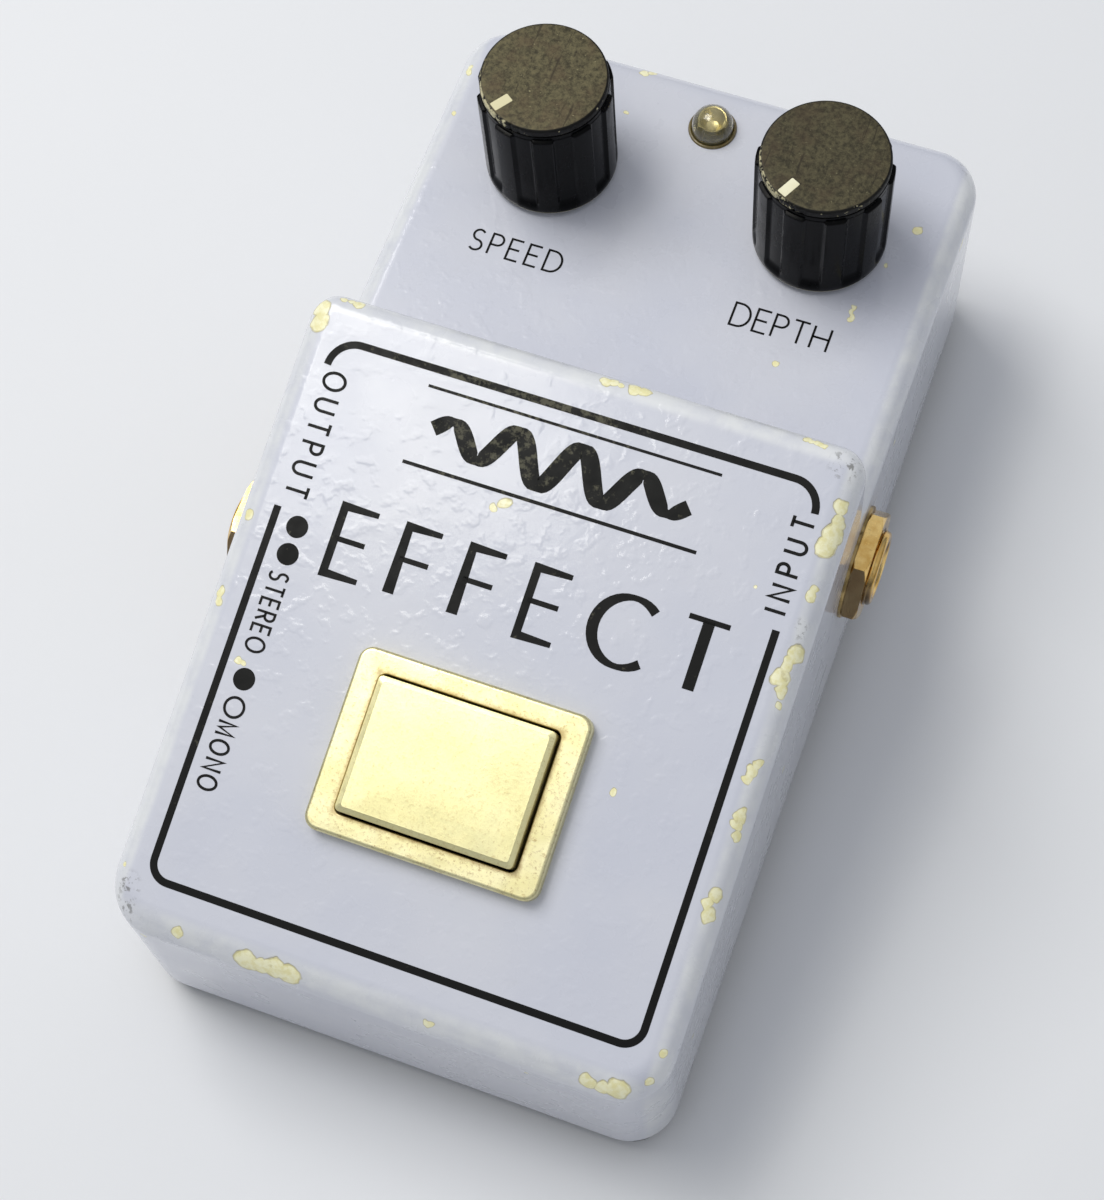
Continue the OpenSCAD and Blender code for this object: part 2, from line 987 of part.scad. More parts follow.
module circuit_board() {
    color([0.55, 0.42, 0.2])
        difference() {
            translate([0, (board_y0 + board_y1) / 2, board_z])
                round_block(board_w, board_y1 - board_y0, board_t, 1);
            for (p = standoffs)
                translate([p[0], p[1], board_z - 1])
                    cylinder(r = 1.6, h = 4);
        }
}

module board_standoffs() {
    color([0.9, 0.9, 0.88])
        for (p = standoffs)
            translate([p[0], p[1], z0]) {
                cylinder(r = 2.6, h = board_z - z0);
                cylinder(r = 1.45, h = top_z - z0 + 1);
                translate([0, 0, top_z - z0])
                    cylinder(r1 = 2.2, r2 = 1.2, h = 1.4);
            }
}

module resistor() {
    translate([0, 0, 1.3]) {
        rotate([90, 0, 0])
            translate([0, 0, -3.2])
                cylinder(r = 1.15, h = 6.4, $fn = 24);
    }
    for (y = [-1, 1]) {
        translate([0, y * 4.6, 0])
            cylinder(r = 0.3, h = 1.6, $fn = 16);
        translate([0, y * 3.9, 1.3])
            cube([0.6, 2, 0.6], center = true);
    }
}

module resistors() {
    color([0.76, 0.66, 0.48]) {
        on_board(along(9, 44, -3.5))
            resistor();
        on_board(along(9, 40, 43.5))
            resistor();
    }
}

module electrolytic_capacitors() {
    color([0.12, 0.16, 0.3])
        on_board(along(6, 44, 25))
            difference() {
                cylinder(r = 2.6, h = 9);
                translate([0, 0, 9])
                    cube([4, 0.3, 0.4], center = true);
            }
}

module film_capacitors() {
    color([0.5, 0.16, 0.12])
        on_board(along(6, 44, 33.5))
            translate([-3.5, -1.3, 0])
                cube([7, 2.6, 6.5]);
}

module ic_chip() {
    translate([-4.8, -3.2, 0.6])
        cube([9.6, 6.4, 3.2]);
    for (i = [0:3], y = [-1, 1])
        translate([-3.81 + 2.54 * i, y * 3.6, 0])
            translate([-0.3, -0.45, 0])
                cube([0.6, 0.9, 2.2]);
}

module ic_chips() {
    color([0.1, 0.1, 0.11])
        on_board(along(3, 34, 7.5))
            ic_chip();
}

module transistors() {
    color([0.12, 0.12, 0.12])
        on_board(along(6, 42, 17.5)) {
            translate([0, 0, 2])
                difference() {
                    cylinder(r = 2.3, h = 4.6);
                    translate([-3, 1.2, -1])
                        cube([6, 3, 7]);
                }
            for (i = [-1:1])
                translate([i * 1.27 - 0.2, -0.2, 0])
                    cube([0.4, 0.4, 2.1]);
        }
}

trimmer_x = 12;
trimmer_y = -12.5;

module trimmer_bases() {
    color([0.2, 0.32, 0.5])
        on_board([[-trimmer_x, trimmer_y], [trimmer_x, trimmer_y]])
            difference() {
                translate([-3.5, -3.5, 0])
                    cube([7, 7, 3.4]);
                translate([0, 0, 1.4])
                    cylinder(r = 2.35, h = 4);
            }
}

module trimmer_rotor(x) {
    color([0.9, 0.88, 0.8])
        translate([x, trimmer_y, top_z + 1.5])
            difference() {
                cylinder(r = 2.3, h = 2.3);
                for (a = [0, 90])
                    rotate([0, 0, a])
                        translate([0, 0, 2.3])
                            cube([3.4, 0.7, 1.4], center = true);
            }
}

module trimmer_rotor_left() {
    trimmer_rotor(-trimmer_x);
}

module trimmer_rotor_right() {
    trimmer_rotor(trimmer_x);
}

// ---------- Battery ----------

battery_y = (battery_y0 + battery_y1) / 2;
battery_z = battery_z0 + battery_h / 2;
stud_pitch = 12.7;

module battery() {
    color([0.12, 0.12, 0.13])
        translate([battery_x0, battery_y, battery_z])
            rotate([90, 0, 90])
                round_block(battery_y1 - battery_y0, battery_h, battery_x1 - battery_x0, 2);
}

module battery_terminals() {
    color([0.78, 0.78, 0.78])
        translate([battery_x1, battery_y, battery_z])
            rotate([0, 90, 0])
                for (y = [-1, 1])
                    translate([0, y * stud_pitch / 2, 0])
                        cylinder(r = 2.9, h = 2.5);
}

module battery_snap() {
    color([0.1, 0.1, 0.1])
        translate([battery_x1, battery_y, battery_z])
            difference() {
                rotate([90, 0, 90])
                    translate([0, 0, 0.3])
                        round_block(25, 12, 4.6, 2);
                rotate([0, 90, 0])
                    for (y = [-1, 1])
                        translate([0, y * stud_pitch / 2, 0])
                            cylinder(r = 2.95, h = 2.6);
            }
}

module battery_pad() {
    color([0.2, 0.2, 0.22])
        box([-18, -46, battery_z0 + battery_h], [14, -31, battery_z0 + battery_h + 1.9]);
}

// ---------- Wires ----------

wire_r = 0.55;
pad_z = top_z + 0.3;
lug_x = side_x - lug_end;
lug_top = jack_z + 4;
lug_low = jack_z - 4.2;
pot_lug_y = knob_y - pot_r - 3;
pot_lug_z = panel_z - wall - pot_h + 1;
snap_x = battery_x1 + 4.9;

// Wires from the tip contacts of the jacks, and from the middle lugs of the potentiometers
module wires_white() {
    jack_b = jack_y - jack_pitch;
    color([0.88, 0.88, 0.85]) {
        tube(curve([[3, 13.6, pad_z], [3, 13, 20], [1, 8, lug_top], [lug_x, jack_y, lug_top]]), wire_r);
        tube(curve([[-3, 13.6, pad_z], [-3, 13, 20], [-1, 8, lug_top], [-lug_x, jack_y, lug_top]]), wire_r);
        tube(curve([[-3, 2.4, pad_z], [-3, 1, 20], [-1, jack_b, lug_top], [-lug_x, jack_b, lug_top]]), wire_r);
        for (x = [-knob_x, knob_x])
            tube(
                curve([[x, 29.3, pad_z], [x, 29.3, 16], [x, 27, pot_lug_z], [x, pot_lug_y, pot_lug_z]]),
                wire_r
            );
    }
}

// Ground wires of the jacks, the battery and the lamp
module wires_black() {
    jack_b = jack_y - jack_pitch;
    color([0.07, 0.07, 0.07]) {
        tube(curve([[6, 12.8, pad_z], [6, 12, 14], [3, 9, lug_low], [lug_x, jack_y, lug_low]]), wire_r);
        tube(curve([[-6, 12.8, pad_z], [-6, 12, 14], [-3, 9, lug_low], [-lug_x, jack_y, lug_low]]), wire_r);
        tube(curve([[-8, 2.4, pad_z], [-7, 1, 14], [-3, jack_b, lug_low], [-lug_x, jack_b, lug_low]]), wire_r);
        tube(
            curve([
                [snap_x, battery_y + 4, battery_z], [29, battery_y + 12, battery_z],
                [26, -16, 20], [21, -10, pad_z]
            ]),
            wire_r
        );
        tube(
            curve([
                [-0.7, lamp_y, panel_z - wall - 8], [-0.7, lamp_y, 16],
                [-2.5, 50, 14], [-2.5, 49.2, pad_z]
            ]),
            wire_r
        );
    }
}

// Supply wires of the battery and the lamp, and the foot switch's wire
module wires_red() {
    color([0.65, 0.08, 0.06]) {
        tube(
            curve([
                [snap_x, battery_y - 4, battery_z + 2], [30, battery_y + 4, battery_z + 4],
                [29, -14, 20], [25, -8.6, pad_z]
            ]),
            wire_r
        );
        tube(
            curve([
                [0.7, lamp_y, panel_z - wall - 8], [0.7, lamp_y, 16],
                [2.5, 50, 14], [2.5, 49.2, pad_z]
            ]),
            wire_r
        );
        tube(curve([[2.4, -25.6, 24.3], [2.4, -19, 21], [2, -14, 16], [2, -12.6, pad_z]]), wire_r);
    }
}

case();
base_plate();
base_screws();
rubber_feet();
battery_door();
switch_bezel();
foot_button();
button_stem();
button_spring();
switch_plunger();
foot_switch();
switch_board();
switch_bracket();
bracket_screws();
speed_knob();
speed_knob_cap();
speed_pointer();
speed_shaft();
depth_knob();
depth_knob_cap();
depth_pointer();
depth_shaft();
pot_housings();
pot_bushings();
pot_terminals();
pot_washers();
pot_nuts();
input_jack_bushing();
input_jack_body();
output_jack_bushings();
output_jack_bodies();
jack_contacts();
jack_washers();
jack_nuts();
dc_jack_bushing();
dc_jack_body();
dc_jack_nut();
lamp_lens();
lamp_clip();
lamp_leads();
circuit_board();
board_standoffs();
resistors();
electrolytic_capacitors();
film_capacitors();
ic_chips();
transistors();
trimmer_bases();
trimmer_rotor_left();
trimmer_rotor_right();
battery();
battery_terminals();
battery_snap();
battery_pad();
wires_red();
wires_black();
wires_white();
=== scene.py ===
"""Looks for the guitar effects pedal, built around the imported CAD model.

Lengths in this file are millimetres until a mesh is made. The case's frame is the record's:
+X to the input jack, +Y to the rear, +Z up, with the floor at z = 0.
"""

import json
import math
import random

import bmesh
import bpy
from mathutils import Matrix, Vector


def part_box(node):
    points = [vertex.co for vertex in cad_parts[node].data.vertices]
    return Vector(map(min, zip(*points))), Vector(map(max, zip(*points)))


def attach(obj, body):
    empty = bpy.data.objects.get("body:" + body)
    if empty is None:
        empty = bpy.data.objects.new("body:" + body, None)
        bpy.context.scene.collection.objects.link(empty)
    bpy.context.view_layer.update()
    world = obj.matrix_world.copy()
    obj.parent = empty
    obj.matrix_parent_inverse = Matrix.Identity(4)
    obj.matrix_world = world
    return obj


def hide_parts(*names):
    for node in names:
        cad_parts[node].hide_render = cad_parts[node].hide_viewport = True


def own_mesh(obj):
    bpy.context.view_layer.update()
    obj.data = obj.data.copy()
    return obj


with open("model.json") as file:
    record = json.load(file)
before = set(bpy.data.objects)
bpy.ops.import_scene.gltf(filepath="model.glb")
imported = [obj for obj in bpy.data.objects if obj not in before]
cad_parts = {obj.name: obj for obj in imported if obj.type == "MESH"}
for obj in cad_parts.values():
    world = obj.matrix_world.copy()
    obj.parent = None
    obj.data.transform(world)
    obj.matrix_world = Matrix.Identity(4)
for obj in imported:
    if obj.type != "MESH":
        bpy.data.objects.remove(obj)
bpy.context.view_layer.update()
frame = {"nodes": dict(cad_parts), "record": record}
NODES = frame["nodes"]

MM = 0.001


def box_mm(node):
    """Lowest and highest corner of a CAD node, in millimetres."""
    low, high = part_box(node)
    return low / MM, high / MM


def middle_mm(node):
    low, high = box_mm(node)
    return (low + high) / 2


# ---- places, from the CAD

CASE_LOW, CASE_HIGH = box_mm("case")
HALF_W = CASE_HIGH.x
Y_FRONT = CASE_LOW.y
Y_REAR = CASE_HIGH.y
RIM_Z = CASE_LOW.z
PANEL_Z = box_mm("pot_washers")[0].z
FRONT_Z = 28.9
RIDGE_Z = 49.5
BLOCK_L = 74.1
WALL = 3.0
EDGE_R = 3.0
FRONT_CORNER_R = 6.0
BACK_CORNER_R = 3.5
Y_RIDGE = Y_FRONT + BLOCK_L
SLOPE = math.atan2(RIDGE_Z - FRONT_Z, BLOCK_L)
UPHILL = Vector((0, math.cos(SLOPE), math.sin(SLOPE)))
OUTWARD = Vector((0, -math.sin(SLOPE), math.cos(SLOPE)))
FACE_START = Vector((0, Y_FRONT, FRONT_Z))
BUTTON_S = 26.6 / math.cos(SLOPE)

LEFT_KNOB = middle_mm("speed_knob_cap")
RIGHT_KNOB = middle_mm("depth_knob_cap")
KNOB_TOP = box_mm("speed_knob_cap")[1].z
KNOB_FOOT = box_mm("speed_knob")[0].z
LAMP = middle_mm("lamp_lens")
LAMP_TOP = box_mm("lamp_lens")[1].z
JACK_Z = middle_mm("input_jack_bushing").z
INPUT_Y = middle_mm("input_jack_bushing").y
OUTPUT_LOW, OUTPUT_HIGH = box_mm("output_jack_bushings")
FLANGE_R = (box_mm("input_jack_bushing")[1].z - box_mm("input_jack_bushing")[0].z) / 2
OUTPUT_YS = (OUTPUT_HIGH.y - FLANGE_R, OUTPUT_LOW.y + FLANGE_R)
DC = middle_mm("dc_jack_nut")


def face_z(y):
    """Height of the sloped face at y."""
    return FRONT_Z + (y - Y_FRONT) * math.tan(SLOPE)


def on_face(x, s, h=0.0):
    """The point s uphill from the front edge, x across, h above the sloped face."""
    return FACE_START + Vector((x, 0, 0)) + UPHILL * s + OUTWARD * h


def on_panel(x, y, h=0.0):
    return Vector((x, y, PANEL_Z + h))


# ---- mesh tools


def make_object(name, verts, faces):
    """A mesh object from points in millimetres and faces."""
    mesh = bpy.data.meshes.new(name)
    mesh.from_pydata([Vector(v) * MM for v in verts], [], faces)
    mesh.validate()
    work = bmesh.new()
    work.from_mesh(mesh)
    bmesh.ops.recalc_face_normals(work, faces=work.faces)
    work.to_mesh(mesh)
    work.free()
    piece = bpy.data.objects.new(name, mesh)
    bpy.context.scene.collection.objects.link(piece)
    return piece


def skin(rings, closed=False):
    """Vertices and faces of a skin over rings of equal count, capped unless it closes on itself."""
    count = len(rings[0])
    verts = [point for ring in rings for point in ring]
    faces = []
    spans = len(rings) if closed else len(rings) - 1
    for i in range(spans):
        low = i * count
        high = ((i + 1) % len(rings)) * count
        for k in range(count):
            after = (k + 1) % count
            faces.append((low + k, low + after, high + after, high + k))
    if not closed:
        last = (len(rings) - 1) * count
        faces.append(tuple(reversed(range(count))))
        faces.append(tuple(range(last, last + count)))
    return verts, faces


def merged(parts):
    """Several (verts, faces) pairs as one."""
    verts = []
    faces = []
    for part_verts, part_faces in parts:
        start = len(verts)
        verts += part_verts
        faces += [tuple(start + i for i in face) for face in part_faces]
    return verts, faces


def rounded_outline(width, length, radii, steps=10, center=(0, 0)):
    """A rectangle with round corners, anticlockwise from the lower right corner.
    radii are those of the corners at -y and at +y."""
    cx, cy = center
    corners = (
        (1, -1, radii[0], -90),
        (1, 1, radii[1], 0),
        (-1, 1, radii[1], 90),
        (-1, -1, radii[0], 180),
    )
    points = []
    for side_x, side_y, radius, start in corners:
        x = cx + side_x * (width / 2 - radius)
        y = cy + side_y * (length / 2 - radius)
        for i in range(steps + 1):
            angle = math.radians(start + 90 * i / steps)
            points.append((x + radius * math.cos(angle), y + radius * math.sin(angle)))
    return points


def quarter(steps):
    """(1 - cos, 1 - sin) for the angles of a quarter turn, in even steps."""
    angles = [math.radians(90 * i / steps) for i in range(steps + 1)]
    return [(1 - math.cos(a), 1 - math.sin(a)) for a in angles]


def turned_ring(lift, level, radius, count):
    """A ring at one level: lift(a, b, level) puts a point in space, radius is a number or a
    function of the angle."""
    ring = []
    for k in range(count):
        angle = math.tau * k / count
        reach = radius(angle) if callable(radius) else radius
        ring.append(lift(reach * math.cos(angle), reach * math.sin(angle), level))
    return ring


def turned_rings(lift, profile, count):
    """Rings for a profile of (level, radius)."""
    return [turned_ring(lift, level, radius, count) for level, radius in profile]


def upright(centre):
    """The lift for rings about an upright axis."""
    return lambda a, b, level: Vector((centre.x + a, centre.y + b, level))


def circle_points(radius, count):
    angles = [math.tau * k / count for k in range(count)]
    return [(radius * math.cos(a), radius * math.sin(a)) for a in angles]


def finish_mesh(piece, sharp_degrees):
    """Smooth shading with sharp edges where faces meet at a clear angle."""
    piece.data.shade_smooth()
    piece.data.set_sharp_from_angle(angle=math.radians(sharp_degrees))
    weighted = piece.modifiers.new("weighted", "WEIGHTED_NORMAL")
    weighted.keep_sharp = True
    weighted.weight = 100


def solid(name, rings, sharp_degrees, closed=False):
    """A finished object skinned over rings."""
    piece = make_object(name, *skin(rings, closed))
    finish_mesh(piece, sharp_degrees)
    return piece


def combine(target, other, operation):
    """Boolean of two objects, applied to target. The other object is removed."""
    modifier = target.modifiers.new("combine", "BOOLEAN")
    modifier.solver = "EXACT"
    modifier.operation = operation
    modifier.object = other
    depsgraph = bpy.context.evaluated_depsgraph_get()
    result = bpy.data.meshes.new_from_object(target.evaluated_get(depsgraph))
    target.modifiers.clear()
    old = target.data
    target.data = result
    used = other.data
    bpy.data.objects.remove(other)
    for mesh in (old, used):
        bpy.data.meshes.remove(mesh)


def tube_solid(radius, low, high, place, axis="z", count=48):
    """A plain round cutter or post along one axis."""
    lifts = {
        "z": lambda a, b, level: Vector((a, b, level)),
        "x": lambda a, b, level: Vector((level, a, b)),
        "y": lambda a, b, level: Vector((b, level, a)),
        "n": lambda a, b, level: Vector((a, 0, 0)) + UPHILL * b + OUTWARD * level,
    }
    rings = turned_rings(lifts[axis], ((low, radius), (high, radius)), count)
    return skin([[place + point for point in ring] for ring in rings])


def place_piece(piece, body, material, nodes=()):
    """Gives a piece its material, the body it rides on and the CAD nodes it stands for."""
    piece.data.materials.clear()
    piece.data.materials.append(material)
    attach(piece, body)
    if nodes:
        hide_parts(*nodes)
    return piece


# ---- material tools


def srgb(red, green, blue):
    """An sRGB colour, 0 to 255, as linear RGBA."""
    out = []
    for channel in (red, green, blue):
        c = channel / 255
        out.append(c / 12.92 if c <= 0.04045 else ((c + 0.055) / 1.055) ** 2.4)
    return (*out, 1.0)


class Paint:
    """A node material with short ways to add nodes. Lengths in its textures are millimetres."""

    def __init__(self, name, **fixed):
        self.material = bpy.data.materials.new(name)
        self.material.use_nodes = True
        self.tree = self.material.node_tree
        self.tree.nodes.clear()
        self.shader = self.tree.nodes.new("ShaderNodeBsdfPrincipled")
        output = self.tree.nodes.new("ShaderNodeOutputMaterial")
        self.tree.links.new(self.shader.outputs[0], output.inputs[0])
        for key, value in fixed.items():
            self.shader.inputs[key.replace("_", " ")].default_value = value
        coords = self.tree.nodes.new("ShaderNodeTexCoord")
        self.where = self.vector("SCALE", coords.outputs["Object"], scale=1 / MM)

    def add(self, kind, inputs, **attributes):
        made = self.tree.nodes.new(kind)
        for key, value in attributes.items():
            setattr(made, key, value)
        for key, value in inputs.items():
            if isinstance(value, bpy.types.NodeSocket):
                self.tree.links.new(value, made.inputs[key])
            else:
                made.inputs[key].default_value = value
        return made

    def math(self, operation, a, b=0.0):
        return self.add("ShaderNodeMath", {0: a, 1: b}, operation=operation).outputs[0]

    def times(self, a, b):
        return self.math("MULTIPLY", a, b)

    def highest(self, a, b):
        return self.math("MAXIMUM", a, b)

    def vector(self, operation, a, b=(0, 0, 0), scale=None):
        inputs = {0: a}
        if scale is None:
            inputs[1] = b
        else:
            inputs["Scale"] = scale
        made = self.add("ShaderNodeVectorMath", inputs, operation=operation)
        single = operation in ("DISTANCE", "LENGTH", "DOT_PRODUCT")
        return made.outputs["Value" if single else "Vector"]

    def axis(self, name, source=None):
        return self.add("ShaderNodeSeparateXYZ", {0: source or self.where}).outputs[name]

    def true_normal(self):
        return self.add("ShaderNodeNewGeometry", {}).outputs["True Normal"]

    def noise(self, size, detail, rough=0.55, stretch=(1, 1, 1), shift=0.0):
        """Noise from 0 to 1 whose grains are about size millimetres across."""
        spot = self.vector("MULTIPLY", self.where, [f / size for f in stretch])
        if shift:
            spot = self.vector("ADD", spot, (shift, shift * 0.7, -shift))
        inputs = {"Vector": spot, "Scale": 1.0, "Detail": detail, "Roughness": rough}
        return self.add("ShaderNodeTexNoise", inputs).outputs[0]

    def cells(self, size):
        """Distance to the nearest of many points about size millimetres apart."""
        spot = self.vector("SCALE", self.where, scale=1 / size)
        made = self.add("ShaderNodeTexVoronoi", {"Vector": spot, "Scale": 1.0})
        return made.outputs["Distance"]

    def between(self, value, low, high, out_low=0.0, out_high=1.0):
        """Smooth step of value from low to high."""
        names = ("Value", "From Min", "From Max", "To Min", "To Max")
        inputs = dict(zip(names, (value, low, high, out_low, out_high)))
        made = self.add("ShaderNodeMapRange", inputs, interpolation_type="SMOOTHSTEP")
        return made.outputs[0]

    def blend(self, factor, a, b):
        """Colour a where factor is 0, b where it is 1. A triple is an sRGB colour, 0 to 255."""
        a, b = [srgb(*c) if isinstance(c, tuple) else c for c in (a, b)]
        made = self.add("ShaderNodeMix", {0: factor, 6: a, 7: b}, data_type="RGBA")
        return made.outputs[2]

    def bump(self, height, depth_mm, strength, below=None):
        inputs = {"Height": height, "Distance": depth_mm * MM, "Strength": strength}
        if below is not None:
            inputs["Normal"] = below
        return self.add("ShaderNodeBump", inputs).outputs[0]

    def stained(self, colour, stain, field, low, high, most):
        """colour, with the stain coming up where field goes from low to high."""
        return self.blend(self.between(field, low, high, 0.0, most), colour, stain)

    def set(self, colour, rough, normal, **more):
        """Links colour, roughness if it varies, and normal, and gives back the finished material."""
        if rough is not None:
            more["Roughness"] = rough
        for key, value in dict(Base_Color=colour, Normal=normal, **more).items():
            self.tree.links.new(value, self.shader.inputs[key.replace("_", " ")])
        return self.material

    def gloss(self, field, rough):
        """Roughness between the two given, uneven by field."""
        return self.between(field, 0.3, 0.7, *rough)


# ---- camera, lights, floor

camera_data = bpy.data.cameras.new("camera")
camera_data.sensor_width = 36
camera_data.sensor_height = 36
camera_data.sensor_fit = "AUTO"
camera_data.lens = 75.44
camera_data.clip_start = 0.01
camera = bpy.data.objects.new("camera", camera_data)
bpy.context.scene.collection.objects.link(camera)
camera.location = Vector((55.9, -112.3, 301.8)) * MM
CAMERA_TILT = 22.9
CAMERA_ROLL = 3.1
CAMERA_TURN = 20.3
camera.rotation_euler = [math.radians(a) for a in (CAMERA_TILT, CAMERA_ROLL, CAMERA_TURN)]
bpy.context.scene.camera = camera


def area_light(name, place, target, size, power, colour):
    light_data = bpy.data.lights.new(name, "AREA")
    light_data.shape = "RECTANGLE"
    light_data.size = size[0]
    light_data.size_y = size[1]
    light_data.energy = power
    light_data.color = colour
    light = bpy.data.objects.new(name, light_data)
    bpy.context.scene.collection.objects.link(light)
    aim = Vector(target) - Vector(place)
    light.rotation_euler = aim.to_track_quat("-Z", "Y").to_euler()
    light.location = place
    return light


area_light("key_softbox", (-0.42, 0.16, 0.72), (0, 0, 0.03), (0.42, 0.42), 3.1, (1.0, 0.985, 0.95))
area_light("glaze_softbox", (-0.29, -0.02, 0.90), (0, 0, 0.04), (0.30, 0.24), 1.35, (1.0, 0.98, 0.90))

world = bpy.data.worlds.new("studio")
bpy.context.scene.world = world
world.use_nodes = True
world_tree = world.node_tree
background = world_tree.nodes["Background"]
sky_coords = world_tree.nodes.new("ShaderNodeTexCoord")
sky_split = world_tree.nodes.new("ShaderNodeSeparateXYZ")
sky_ramp = world_tree.nodes.new("ShaderNodeValToRGB")
for stop, position, colour in zip(
    sky_ramp.color_ramp.elements, (0.0, 0.9), ((0.20, 0.22, 0.26, 1), (0.85, 0.87, 0.90, 1))
):
    stop.position = position
    stop.color = colour
world_tree.links.new(sky_coords.outputs["Generated"], sky_split.inputs[0])
world_tree.links.new(sky_split.outputs["Z"], sky_ramp.inputs[0])
world_tree.links.new(sky_ramp.outputs[0], background.inputs[0])
background.inputs[1].default_value = 0.70

bpy.context.scene.view_settings.view_transform = "Standard"

FLOOR_HALF = 1500
floor_rings = [
    [Vector((x, y, level)) for x, y in rounded_outline(2 * FLOOR_HALF, 2 * FLOOR_HALF, (200, 200))]
    for level in (-4.0, 0.0)
]
floor = make_object("floor", *skin(floor_rings))
floor_paint = Paint("floor_card", Roughness=0.75)
floor_colour = floor_paint.blend(floor_paint.noise(140, 2), (226, 228, 232), (232, 233, 236))
floor_grain = floor_paint.bump(floor_paint.noise(0.8, 2), 0.02, 0.3)
floor.data.materials.append(floor_paint.set(floor_colour, None, floor_grain))

# ---- materials


def knock(draw, place, along, across, count, largest):
    """One knock in the paint: a short run of chips around a place."""
    chips = []
    for i in range(count):
        step = (i - (count - 1) / 2) * largest * 1.15
        spread = draw.uniform(-0.5, 0.5)
        chips.append((place + along * step + across * spread, largest * draw.uniform(0.6, 1.0)))
    return chips


def case_chips(case):
    """Centres and radii of the chips in the paint, as (place, radius), set on the case's surface.
    The knocks are listed, each as (share of the edge, chips in it, largest radius)."""
    draw = random.Random(5)
    right = Vector((1, 0, 0))
    back = Vector((0, 1, 0))
    length = BLOCK_L / math.cos(SLOPE)
    side = HALF_W - 1.4
    lower_z = FRONT_Z - 4.0
    edges = (
        # right edge of the face, from the front
        (on_face(side, 0), on_face(side, length), right, (
            (0.03, 1, 0.6), (0.08, 1, 0.6), (0.30, 3, 1.0), (0.42, 3, 1.0), (0.50, 3, 0.9),
            (0.60, 1, 0.8), (0.65, 4, 1.3), (0.77, 2, 0.7), (0.87, 4, 1.4),
        )),
        # left edge of the face
        (on_face(-side, 0), on_face(-side, length), right, (
            (0.08, 1, 0.6), (0.50, 2, 0.8), (0.63, 1, 1.0), (0.95, 2, 1.6),
        )),
        # ridge
        (on_face(-side, length - 0.8), on_face(side, length - 0.8), UPHILL, (
            (0.05, 3, 0.8), (0.55, 3, 0.8), (0.60, 2, 0.9), (0.92, 4, 0.6),
        )),
        # front edge of the face
        (on_face(-side, 0), on_face(side, 0), UPHILL, (
            (0.13, 1, 0.9), (0.30, 4, 1.5), (0.60, 1, 0.9), (0.92, 3, 1.5),
        )),
        # across the face: beside the title, and below the frame's foot
        (on_face(-side, 58), on_face(side, 58), UPHILL, ((0.43, 2, 0.9), (0.90, 1, 0.4))),
        (on_face(-side, 32), on_face(side, 32), UPHILL, ((0.08, 2, 0.6), (0.78, 1, 0.5))),
        # panel: rear edge, beside and in front of the right knob, left edge
        (on_panel(-side, Y_REAR - 1), on_panel(side, Y_REAR - 1), back, ((0.34, 2, 0.8),)),
        (on_panel(24, 34), on_panel(28, 49), right, (
            (0.10, 4, 0.5), (0.60, 1, 0.4), (1.00, 1, 0.6),
        )),
        (on_panel(-side, 45), on_panel(-side, 55), right, ((0.2, 1, 0.5), (0.9, 2, 0.6))),
        (on_panel(-11, 54), on_panel(18, 26), right, ((0.0, 1, 0.6), (1.0, 1, 0.5))),
        # walls, below the edges
        (Vector((-side, Y_FRONT, lower_z)), Vector((side, Y_FRONT, lower_z)), UPHILL, (
            (0.06, 1, 0.6), (0.78, 1, 0.4),
        )),
        (Vector((HALF_W, -50, 18)), Vector((HALF_W, 56, 32)), UPHILL, (
            (0.0, 1, 0.6), (0.3, 1, 0.5), (0.7, 1, 0.5), (0.95, 2, 0.7),
        )),
        (Vector((-HALF_W, -44, 20)), Vector((-HALF_W, 55, 32)), UPHILL, (
            (0.0, 1, 0.6), (0.4, 1, 0.5), (0.9, 1, 0.7),
        )),
        (Vector((-25, Y_REAR, 32)), Vector((30, Y_REAR, 25)), UPHILL, (
            (0.08, 2, 0.8), (0.6, 1, 0.6), (0.9, 1, 0.5),
        )),
    )
    chips = []
    for start, end, across, knocks in edges:
        along = (end - start).normalized()
        for share, count, largest in knocks:
            place = start.lerp(end, share)
            chips += knock(draw, place, along, across, count, largest)
    return [(case.closest_point_on_mesh(place * MM)[1] / MM, r) for place, r in chips]


def nearest_of(paint, spots, source):
    """Distance to the nearest of some round spots, as a share of its radius."""
    nearest = None
    for place, radius in spots:
        away = paint.vector("DISTANCE", source, tuple(place))
        share = paint.math("DIVIDE", away, radius)
        nearest = share if nearest is None else paint.math("MINIMUM", nearest, share)
    return nearest


def shaken(paint, size, amount):
    """Positions pushed about by noise, so that spots get uneven outlines."""
    spot = paint.vector("SCALE", paint.where, scale=1 / size)
    made = paint.add("ShaderNodeTexNoise", {"Vector": spot, "Scale": 1.0, "Detail": 1.6})
    centred = paint.vector("SUBTRACT", made.outputs["Color"], (0.5, 0.5, 0.5))
    return paint.vector("ADD", paint.where, paint.vector("SCALE", centred, scale=amount))


def peak(paint, value, low, high, soft):
    """1 between low and high, fading to 0 over soft on each side."""
    rise = paint.between(value, low - soft, low)
    fall = paint.between(value, high, high + soft, 1.0, 0.0)
    return paint.times(rise, fall)


